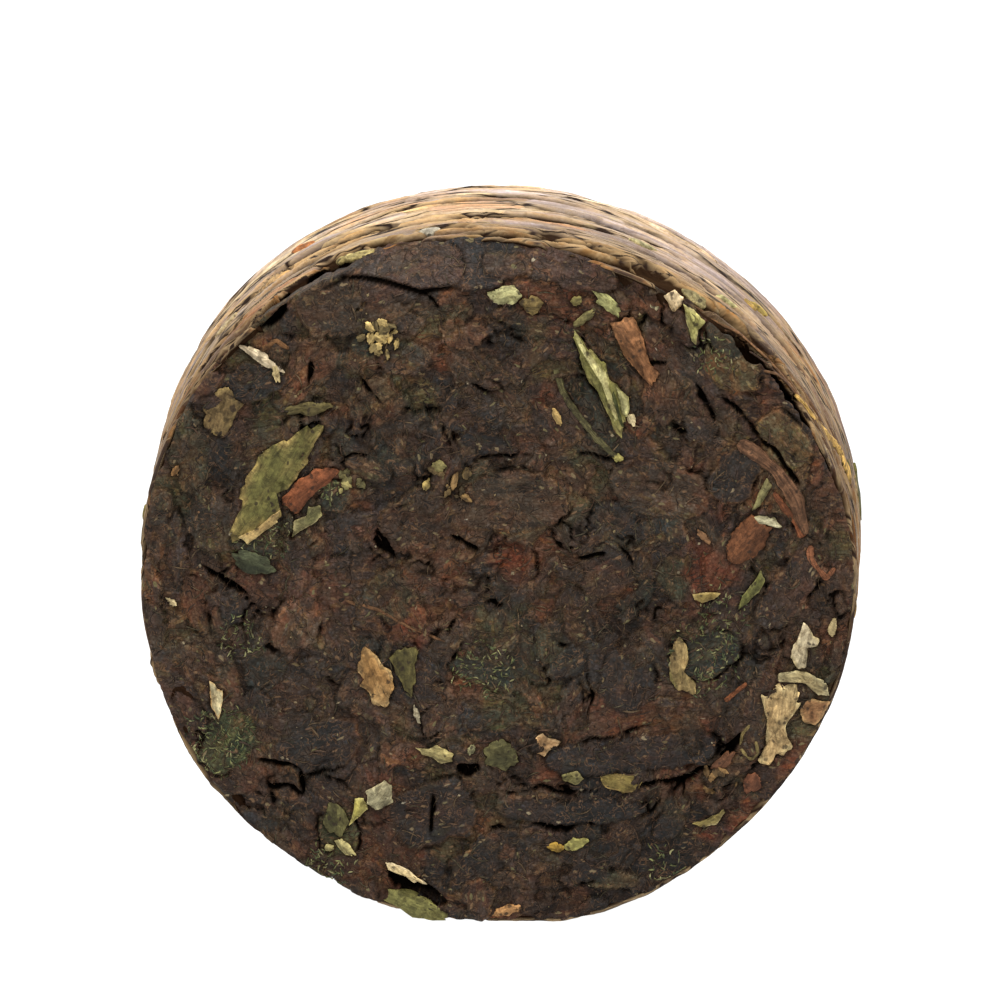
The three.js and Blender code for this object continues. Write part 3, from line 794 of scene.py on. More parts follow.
def pressed_wall(seed):
    """The wall unrolled: the CAD model's strips, many finer ones, the slits and pits between them, and then
    the tones: painted light that makes the top paler, paler at the left, browner at the right, darker towards
    the front, and painted shade low on the wall near the front."""
    columns = round(GIRTH / RASTER)
    mat = Mat(np.arange(columns) * GIRTH / columns, np.arange(-HALF - 0.2, HALF + 0.2, RASTER), True,
              WALL_GRAIN, seed)
    random = mat.random
    mat.height += -0.06 + 0.03 * mat.noise(0.5, seed + 3, 4, 4.0)
    mat.colour += MOUSE * (1 + 0.3 * mat.noise(0.4, seed + 4, 4, 5.0))[..., None]
    for i in range(FIRST_STRIP, FIRST_STRIP + WALL_STRIPS):
        width = between(1, 2.6, chance(i, 2))
        place = (HALF - 0.6 - width / 2) * between(-1, 1, chance(i, 3))
        sunk = 0.12 * between(0, 0.8, chance(i, 4))
        mat.lay(drawn_strip(random, at_angle(np.degrees(i * GOLDEN_ANGLE)), -place,
                            between(6, 12, chance(i, 1)), width, -sunk))
    for _ in range(SMALL_STRIPS):
        length = 1.2 + 8 * random.uniform() ** 1.4
        mat.lay(drawn_strip(random, random.uniform(0, GIRTH), random.uniform(-HALF, HALF), length,
                            length * random.uniform(0.05, 0.16), -random.uniform(0.0, 0.1)))
    for degrees, behind, length, width, tone in NAMED_STRIPS:
        strip = drawn_strip(random, at_angle(degrees), behind - HALF, length, width, -0.02)
        mat.lay(strip._replace(colour=tone, cover=0.7, gap=0.05, tear=0.3))
    for _ in range(WALL_SLITS):
        mat.slit(random.uniform(0, GIRTH), random.uniform(-HALF, HALF), random.uniform(4.0, 13.0),
                 random.uniform(0.16, 0.42), random.normal(0, 1.5), SLIT_DEPTH, **WALL_SLIT)
    for _ in range(FRONT_PITS):
        mat.slit(random.uniform(0, GIRTH), PIT_REACH * random.uniform() - HALF, random.uniform(1.4, 4.5),
                 random.uniform(0.35, 0.8), random.normal(0, 3), PIT_DEPTH, **WALL_SLIT)
    for degrees, behind, length, width, turn in NAMED_SLITS:
        mat.slit(at_angle(degrees), behind - HALF, length, 2 * width, turn + random.normal(0, 1.5),
                 NAMED_SLIT_DEPTH, **WALL_SLIT)
    mat.height += WALL_RISE + 0.015 * mat.noise(0.3, seed + 5, 3, 2.0)
    # Painted light: the top of the wall is made far paler than its sides, as if lit from overhead.
    top = smooth_step((np.sin(-mat.grid[0] / RADIUS) - 0.45) / 0.5)[..., None]
    # darker and browner towards the front face
    away_from_front = smooth_step((mat.grid[1] + HALF - 0.3) / FRONT_DIMNESS)[..., None]
    mat.colour *= (WALL_SIDE_PAINTED_LIGHT + (WALL_TOP_PAINTED_LIGHT - WALL_SIDE_PAINTED_LIGHT) * top) * (WALL_FRONT + (1 - WALL_FRONT) * away_from_front)
    across = np.cos(mat.grid[0] / RADIUS)[..., None]
    mat.colour *= 1 + (PALE_LEFT - 1) * smooth_step((-across - 0.62) / 0.25)
    mat.colour *= 1 + (BROWN_RIGHT - 1) * smooth_step((across - 0.67) / 0.21)
    mat.colour *= 1 + STREAKS * mat.noise(0.22, seed + 8, 2, 14.0)[..., None]
    # Painted shade: the lower half of the wall is darkened near the front, against the light from the floor.
    foot = smooth_step((np.sin(mat.grid[0] / RADIUS) - 0.3) / 0.4)[..., None]
    mat.colour *= 1 - FOOT_RIM_PAINTED_SHADE * foot * (1 - away_from_front)
    return mat


wall_mat = pressed_wall(WALL_SEED)
print(f"wall relief {wall_mat.height.min():.2f} to {wall_mat.height.max():.2f} mm")

# %% [markdown]
# ## Finishes
# Dry leaf is matt, with a dull gloss where the mould has rubbed it. Its colour changes from leaf to leaf,
# which the points carry, and within a leaf along its fibres and in fine grain, which the shader adds. A
# shader is a graph of nodes. Adding and joining them one by one takes many lines, so a small class does
# that.

# %% Shader graphs


class Graph:
    """The nodes of a material or of the world. A value or a colour to mix may also be a socket."""

    def __init__(self, tree):
        self.nodes, self.join = tree.nodes, tree.links.new

    def add(self, kind, **values):
        """A node of that kind with its settings, or its sockets' values, filled in."""
        node = self.nodes.new("ShaderNode" + kind)
        for key, value in values.items():
            if key in node.inputs:
                node.inputs[key].default_value = value
            else:
                setattr(node, key, value)
        return node

    def fill(self, socket, value):
        """A socket joined to another one, or set to a number or a colour."""
        if hasattr(value, "links"):
            self.join(value, socket)
        else:
            socket.default_value = (*value, 1) if np.ndim(value) else value

    def mark(self, name, output="Fac"):
        """What the points carry under that name."""
        return self.add("Attribute", attribute_name=name).outputs[output]

    def stretched(self, place, scale):
        """A place with each of its axes stretched."""
        node = self.add("Mapping", Scale=scale)
        self.join(place, node.inputs["Vector"])
        return node.outputs["Vector"]

    def millimetres(self):
        """Object coordinates in millimetres."""
        return self.stretched(self.add("TexCoord").outputs["Object"], (1 / MM, 1 / MM, 1 / MM))

    def noise(self, place, scale, detail, roughness, twist=0.0):
        """Blender's noise, from 0 to 1, with more and finer layers for more detail."""
        node = self.add("TexNoise", Scale=scale, Detail=detail, Roughness=roughness, Distortion=twist)
        self.join(place, node.inputs["Vector"])
        return node.outputs["Fac"]

    def remap(self, value, from_low, from_high, to_low, to_high):
        """A value stretched from one range to another and held inside it."""
        ends = {"From Min": from_low, "From Max": from_high, "To Min": to_low, "To Max": to_high}
        node = self.add("MapRange", **ends)
        self.join(value, node.inputs["Value"])
        return node.outputs["Result"]

    def mixed(self, share, first, second, blend="MIX"):
        """Two colours mixed by a share."""
        node = self.add("Mix", data_type="RGBA", blend_type=blend)
        for socket, value in ((node.inputs[0], share), (node.inputs[6], first), (node.inputs[7], second)):
            self.fill(socket, value)
        return node.outputs[2]

    def tinted(self, colour, tone):
        """A colour times a tone."""
        return self.mixed(1.0, colour, tone, "MULTIPLY")

    def calculated(self, operation, first, second):
        """Two values put through a Math node."""
        node = self.add("Math", operation=operation)
        for socket, value in zip(node.inputs, (first, second)):
            self.fill(socket, value)
        return node.outputs[0]

    def times(self, first, second):
        """One value times another."""
        return self.calculated("MULTIPLY", first, second)

    def less(self, first, second):
        """One value less another."""
        return self.calculated("SUBTRACT", first, second)

    def threads(self, place, scale, width, twist):
        """Lines that wander like threads, where a noise crosses its middle value: one on the line and nought
        beside it, and the same for a band three times as wide."""
        wander = self.noise(place, scale, 2.0, 0.5, twist)
        off = self.calculated("ABSOLUTE", self.less(wander, 0.5), 0.0)
        return self.remap(off, width / 4, width, 1.0, 0.0), self.remap(off, width, 3 * width, 1.0, 0.0)

    def toned(self, value, stops):
        """A colour for each value: the stops are pairs of a value and the colour there, blended between."""
        node = self.add("ValToRGB")
        ramp = node.color_ramp.elements
        while len(ramp) < len(stops):
            ramp.new(1.0)
        for element, (position, tone) in zip(ramp, stops):
            element.position = position
            element.color = (*tone, 1)
        self.join(value, node.inputs["Fac"])
        return node.outputs["Color"]

    def cells(self, place, scale):
        """Voronoi cells: the random colour of the cell at each place, and the distance to its middle."""
        node = self.add("TexVoronoi", Scale=scale)
        self.join(place, node.inputs["Vector"])
        channels = self.add("SeparateColor")
        self.join(node.outputs["Color"], channels.inputs["Color"])
        return channels.outputs, node.outputs["Distance"]

    def bent(self, place, scale, amount):
        """A place pushed about by noise, so that the pattern that reads it wanders."""
        push = self.add("TexNoise", Scale=scale, Detail=1.0)
        self.join(place, push.inputs["Vector"])
        moved = self.add("VectorMath", operation="MULTIPLY_ADD")
        self.join(push.outputs["Color"], moved.inputs[0])
        moved.inputs[1].default_value = (amount, amount, amount)
        self.join(place, moved.inputs[2])
        return moved.outputs["Vector"]

    def bump(self, height, strength, reach):
        """The normal tilted by the slope of a height, of which 1 is as high as the reach, in mm."""
        node = self.add("Bump", Strength=strength, Distance=reach * MM)
        self.join(height, node.inputs["Height"])
        return node.outputs["Normal"]


def new_material(name):
    """A material with its graph and the sockets of its one shader."""
    material = bpy.data.materials.new(name)
    material.use_nodes = True
    graph = Graph(material.node_tree)
    return material, graph, graph.nodes["Principled BSDF"].inputs


def grey_tones(spread):
    """Tones from dark to light by the same step in every colour, so that light grains look grey, not red."""
    dark = 1 - spread * np.array((0.75, 1.0, 1.25))
    light = 1 + spread * np.array((0.75, 1.0, 1.4))
    return [(0.0, dark), (0.5, (1, 1, 1)), (1.0, light)]


# %% [markdown]
# ## The finish of pressed leaf
# Close to, the cake is never one colour: each leaf is broken into scraps and these into grains, with
# specks of paler leaf, loose threads and dark creases. A photo pasted on would not do, as it would not fit
# the relief. So the colour is layered, coarse to fine. Noise is read at each leaf's own place, stretched
# along it, so that fibres follow the leaf. Face and wall have the same layers and differ in scales and
# tones.

# %% Pressed leaf
GAP_RANGE = (0.05, 0.6)
SMOOTH_GLOSS = 0.16
BUMP_REACH = 0.1


def pressed_leaf(name, finish):
    """Leaf colour from the points, broken into scraps of several tones and these into grains, streaked along
    the fibres, drifting from rust to olive, with specks, threads and creases on it, the creases and the gaps
    dark with painted shade."""
    material, graph, shader = new_material(name)
    colour, gap = graph.mark("leaf_colour", "Color"), graph.mark("gap")
    everywhere, own_place = graph.millimetres(), graph.mark("leaf_place", "Vector")
    sheet = graph.stretched(graph.mark("sheet_place", "Vector"), finish.thread_stretch)
    scraps, _ = graph.cells(graph.bent(graph.stretched(own_place, finish.scrap_scale), 1.3, 1.2), 1.0)
    grains, off_middle = graph.cells(everywhere, finish.grain_scale)
    dashes, off_dash = graph.cells(graph.bent(graph.stretched(own_place, finish.speck_scale), 0.9, 0.9), 1.0)
    fibres = graph.noise(graph.stretched(own_place, finish.fibre_scale), 1.0, 3.0, 0.7, 0.8)
    dust = graph.noise(everywhere, 8.0, 2.0, 0.7)
    drift = graph.noise(everywhere, 0.9, 2.0, 0.6, 0.5)
    where = graph.noise(everywhere, 1.7, 1.0, 0.6)
    light_threads = graph.times(graph.threads(sheet, 1.7, 0.02, 1.2)[0],
                                graph.remap(where, 0.43, 0.57, 0.0, finish.threads))
    crease, crease_band = graph.threads(sheet, 1.0, finish.crease_width, 0.8)
    open_here = graph.remap(where, *finish.crease_gate, 0.0, finish.creases)
    creases = graph.times(crease, open_here)
    crease_edges = graph.times(crease_band, graph.times(open_here, finish.crease_edge))
    specks = graph.times(graph.remap(dashes["Red"], finish.speck_odds, finish.speck_odds + 0.03, 0.0, 0.9),
                         graph.remap(off_dash, 0.38, 0.26, 0.0, 1.0))

    grain = finish.grain_contrast
    for value, tones in (
        (scraps["Red"], finish.scrap_tones),
        (scraps["Green"], grey_tones(finish.scrap_contrast)),
        (graph.remap(fibres, 0.28, 0.72, 0, 1), grey_tones(finish.streaks)),
        (grains["Red"], grey_tones(grain)),
        (graph.remap(off_middle, 0.65, 0.15, 0, 1), grey_tones(0.6 * grain)),
        (graph.remap(dust, 0.3, 0.7, 0, 1), grey_tones(0.8 * grain)),
        (drift, finish.drift_tones),
    ):
        colour = graph.tinted(colour, graph.toned(value, tones))
    # The creases and the gaps are painted with shade, the finish's dark colour.
    for share, tone in (
        (light_threads, finish.thread_tone),
        (specks, graph.toned(dashes["Green"], finish.speck_tones)),
        (crease_edges, finish.thread_tone),
        (creases, finish.dark),
        (graph.remap(gap, *GAP_RANGE, 0.0, 0.97), finish.dark),
    ):
        colour = graph.mixed(share, colour, tone)
    graph.join(colour, shader["Base Color"])

    dull = graph.remap(grains["Green"], 0, 1, finish.roughness, finish.roughness + 0.2)
    graph.join(graph.less(dull, graph.times(graph.mark("smooth"), SMOOTH_GLOSS)), shader["Roughness"])
    graph.join(graph.remap(gap, *GAP_RANGE, finish.specular, 0.0), shader["Specular IOR Level"])
    relief = graph.less(graph.less(fibres, graph.times(off_middle, 0.6)), graph.times(creases, 0.6))
    graph.join(graph.bump(relief, finish.bump, BUMP_REACH), shader["Normal"])
    print(f"{name}: {len(graph.nodes)} nodes")
    return material


SHADOW = seen(12, 9, 7)
SCRAP_TONES = [(0.0, (0.56, 0.58, 0.58)), (0.25, (0.84, 0.86, 0.85)), (0.5, (1.0, 1.0, 1.0)),
               (0.7, (1.04, 1.02, 0.94)), (0.85, (1.32, 1.06, 0.9)), (0.95, (1.2, 1.28, 0.88)),
               (1.0, (1.9, 1.6, 1.2))]
DRIFT_TONES = [(0.34, (0.72, 0.79, 0.78)), (0.46, (0.97, 1.01, 0.94)), (0.55, (1.08, 0.98, 0.9)),
               (0.68, (1.38, 1.05, 0.84))]
LEAF_SPECKS = [(0.0, seen(102, 76, 56)), (0.45, seen(130, 100, 70)), (0.7, seen(114, 108, 70)),
               (0.92, seen(140, 120, 88)), (0.98, seen(160, 144, 112)), (1.0, seen(210, 200, 176))]
BARK_TONES = [(0.0, (0.7, 0.68, 0.67)), (0.3, (0.92, 0.92, 0.94)), (0.7, (1.0, 1.0, 0.99)),
              (0.9, (1.08, 1.04, 0.95)), (1.0, (1.1, 0.95, 0.82))]
BARK_DRIFT = [(0.35, (0.82, 0.83, 0.86)), (0.52, (1.0, 1.0, 1.0)), (0.7, (1.1, 1.03, 0.94))]
BARK_SPECKS = [(0.0, on_wall(176, 138, 98)), (0.5, on_wall(206, 174, 124)), (1.0, on_wall(234, 212, 164))]
face_leaf = pressed_leaf("face_leaf", SimpleNamespace(
    scrap_scale=(1.7, 4.4, 17.0), scrap_tones=SCRAP_TONES, scrap_contrast=0.26,
    fibre_scale=(1.1, 9.0, 17.0), streaks=0.36, grain_scale=8.0, grain_contrast=0.36, drift_tones=DRIFT_TONES,
    speck_scale=(2.6, 6.2, 17.0), speck_tones=LEAF_SPECKS, speck_odds=0.8,
    thread_stretch=(1.4, 1.4, 1.4), thread_tone=seen(126, 92, 62), threads=0.7,
    creases=0.85, crease_width=0.02, crease_gate=(0.54, 0.42), crease_edge=0.2,
    dark=SHADOW, roughness=0.6, specular=0.2, bump=0.9))
wall_leaf = pressed_leaf("wall_leaf", SimpleNamespace(
    scrap_scale=(0.22, 2.0, 17.0), scrap_tones=BARK_TONES, scrap_contrast=0.12,
    fibre_scale=(0.25, 3.2, 17.0), streaks=0.26, grain_scale=6.0, grain_contrast=0.1, drift_tones=BARK_DRIFT,
    speck_scale=(0.5, 2.8, 17.0), speck_tones=BARK_SPECKS, speck_odds=0.84,
    thread_stretch=(0.13, 1.3, 1.0), thread_tone=on_wall(214, 182, 134), threads=0.6,
    creases=1.0, crease_width=0.035, crease_gate=(0.85, 0.55), crease_edge=0.6,
    # dark is the painted shade in the wall's creases and gaps
    dark=seen(44, 28, 18), roughness=0.58, specular=0.1, bump=0.5))

# %% [markdown]
# ## The finish of flakes
# A dry flake is matt and mottled, veined along its length, with dark specks, and its torn edge is paler,
# where the inside shows. One plain colour would look like cut paper. As on the mat, the points carry the
# colour and noise adds the rest. Twigs, fibres and dust use this finish as well.

# %% Flake finish
MOTTLE_TONES = [(0.3, (0.36, 0.33, 0.28)), (0.43, (0.76, 0.72, 0.66)), (0.55, (1.05, 1.04, 1.0)),
                (0.72, (1.45, 1.4, 1.3))]
SPECK_TONE, EDGE_TINT = seen(48, 36, 26), (1.55, 1.5, 1.4)
FLAKE_ROUGHNESS, FLAKE_SPECULAR = 0.7, 0.2
FLAKE_BUMP, FLAKE_BUMP_REACH = 0.9, 0.12


def flake_finish(name, contrast, vein_scale):
    """Flake colour from the points, mottled, veined along it, with dark specks and a pale torn edge."""
    material, graph, shader = new_material(name)
    everywhere = graph.millimetres()
    veins = graph.noise(graph.stretched(graph.mark("leaf_place", "Vector"), vein_scale), 1.0, 3.0, 0.65, 0.4)
    mottle = graph.noise(everywhere, 2.4, 4.0, 0.72, 1.0)
    specks, off_middle = graph.cells(graph.bent(everywhere, 3.0, 0.3), 4.5)
    grain = 0.7 * contrast
    colour = graph.mark("leaf_colour", "Color")
    for tone in (graph.remap(veins, 0.3, 0.7, 1 - contrast, 1 + contrast), graph.toned(mottle, MOTTLE_TONES),
                 graph.remap(specks["Red"], 0.0, 1.0, 1 - grain, 1 + grain)):
        colour = graph.tinted(colour, tone)
    dark = graph.times(graph.remap(specks["Green"], 0.78, 0.86, 0.0, 0.75),
                       graph.remap(off_middle, 0.45, 0.3, 0.0, 1.0))
    torn = graph.calculated("ADD", graph.mark("rim"), graph.remap(mottle, 0.3, 0.7, -0.12, 0.06))
    colour = graph.mixed(dark, colour, SPECK_TONE)
    colour = graph.mixed(graph.remap(torn, 0.9, 0.99, 0.0, 0.75), colour, EDGE_TINT, "MULTIPLY")
    graph.join(colour, shader["Base Color"])
    shader["Roughness"].default_value = FLAKE_ROUGHNESS
    shader["Specular IOR Level"].default_value = FLAKE_SPECULAR
    relief = graph.calculated("ADD", veins, mottle)
    graph.join(graph.bump(relief, FLAKE_BUMP, FLAKE_BUMP_REACH), shader["Normal"])
    print(f"{name}: {len(graph.nodes)} nodes")
    return material


pale_leaf = flake_finish("pale_leaf", 0.4, (1.6, 7.0, 31.0))

# %% [markdown]
# ## Flakes
# Pale and green flakes of broken leaf stick out of the dark mat. Painted on, they would have no edge and
# cast no shadow, so each is a thin closed plate. Rings of points run from its middle to its torn outline,
# over the mat below it and a little domed or curled. The flakes that catch the eye have outlines drawn
# point by point, the small ones are ovals with a torn edge.

# %% Flake shape
FLAKE_RINGS = np.array([0.3, 0.55, 0.76, 0.91, 1.0])
FLAKE_THICKNESS = 0.16
FOLD_AND_PAINTED_LIGHT = 0.4


def drawn_outline(corners, count, ragged, seed):
    """A closed outline of even steps, straight between the corners, then moved in or out by noise."""
    closed = np.array([*corners, corners[0]], float)
    run = np.concatenate([[0], np.cumsum(np.hypot(*np.diff(closed, axis=0).T))])
    at = np.arange(count) * run[-1] / count
    edge = np.stack([np.interp(at, run, closed[:, k]) for k in (0, 1)], axis=1)
    middle = edge.mean(0)
    tear = 1 + ragged * rough_noise(edge[:, 0], edge[:, 1], 0.3, seed, 4)
    return middle + (edge - middle) * tear[:, None]


def oval_outline(x, y, length, width, turn, blunt, count, ragged, seed):
    """A torn oval: |along|^n + |across|^n = 1 with its radius changed by noise."""
    around = np.arange(count) * 2 * np.pi / count
    reach = (np.abs(np.cos(around)) ** blunt + np.abs(np.sin(around)) ** blunt) ** (-1 / blunt)
    reach = reach * (1 + ragged * rough_noise(2 * np.cos(around), 2 * np.sin(around), 0.9, seed, 3))
    along, across = length / 2 * reach * np.cos(around), width / 2 * reach * np.sin(around)
    right, up = turned(along, across, np.radians(turn))
    return np.stack([x + right, y + up], axis=1)


def flake(edge, mat, carry, tone, rim_tone, lift, curl, seed, thickness=FLAKE_THICKNESS):
    """A thin plate inside an outline. Its top follows the mat below, raised most in the middle, bent up by
    the square of the distance across, folded like a roof along its length, with small bumps. Its colour has
    painted light, lighter on the upper side of the roof and darker on the lower, and drifts to the rim tone
    at the edge."""
    middle, count = edge.mean(0), len(edge)
    spread = middle + FLAKE_RINGS[:, None, None] * (edge - middle)
    flat = np.concatenate([middle[None], spread.reshape(-1, 2)])
    share = np.concatenate([[0], np.repeat(FLAKE_RINGS, count)])
    axes = np.linalg.svd(edge - middle, full_matrices=False)[2]
    along, across = ((flat - middle) @ (axes * np.where(axes[:, 1:] < 0, -1, 1)).T).T
    half = np.abs(across).max()
    fold_and_painted_light = FOLD_AND_PAINTED_LIGHT * chance(seed, 3)
    ground = mat.sample(flat[:, 0], flat[:, 1])["height"]
    bumps = rough_noise(flat[:, 0], flat[:, 1], 0.5, seed, 3)
    bend = curl * (across / half) ** 2 + 0.4 * fold_and_painted_light * (half - np.abs(across))
    top = 0.4 * ground + 0.6 * np.median(ground) + lift * (1 - 0.6 * share**3) + bend + 0.05 * bumps
    bottom = np.concatenate([edge * 0.97 + middle * 0.03, middle[None]])
    under = np.concatenate([top[-count:], top[:1]]) - thickness
    points = carry(*np.concatenate([flat, bottom]).T, np.concatenate([top, under]))
    patch = rough_noise(flat[:, 0] + 40, flat[:, 1], 0.6, seed + 5, 3)
    rim = smooth_step((share - 0.7) / 0.3) * smooth_step(0.6 + 0.9 * patch)
    # Painted light and shade: the side of the roof that faces up is lighter, the other darker.
    colour = tone * (1 + 0.25 * bumps + fold_and_painted_light * np.tanh(3 * across / half))[:, None]
    colour = colour + (rim_tone - colour) * np.clip(rim + 0.5 * np.maximum(patch, 0), 0, 1)[:, None]
    draw = np.full(len(flat), seed % 97 / 97)
    marks = {"leaf_colour": colour, "leaf_place": np.stack([along, across, draw], axis=1), "rim": share}
    below = np.concatenate([np.arange(len(flat) - count, len(flat)), [0]])
    marks = {key: np.concatenate([value, value[below]]) for key, value in marks.items()}
    rings = [np.arange(count) + 1 + k * count for k in range(len(FLAKE_RINGS) + 1)]
    quads = np.concatenate([band_faces(b, a) for a, b in zip(rings, rings[1:])])
    fans = np.concatenate([fan_faces(rings[0], 0), fan_faces(rings[-1][::-1], len(points) - 1)])
    return Shape(points, [fans, quads], marks)


# %% [markdown]
# ## Flakes with shapes of their own
# Some thirty flakes are large enough to be known by their shape, such as the torn olive leaf and the
# rolled green one. Each is drawn as a few corners, and noise tears the edge between them.

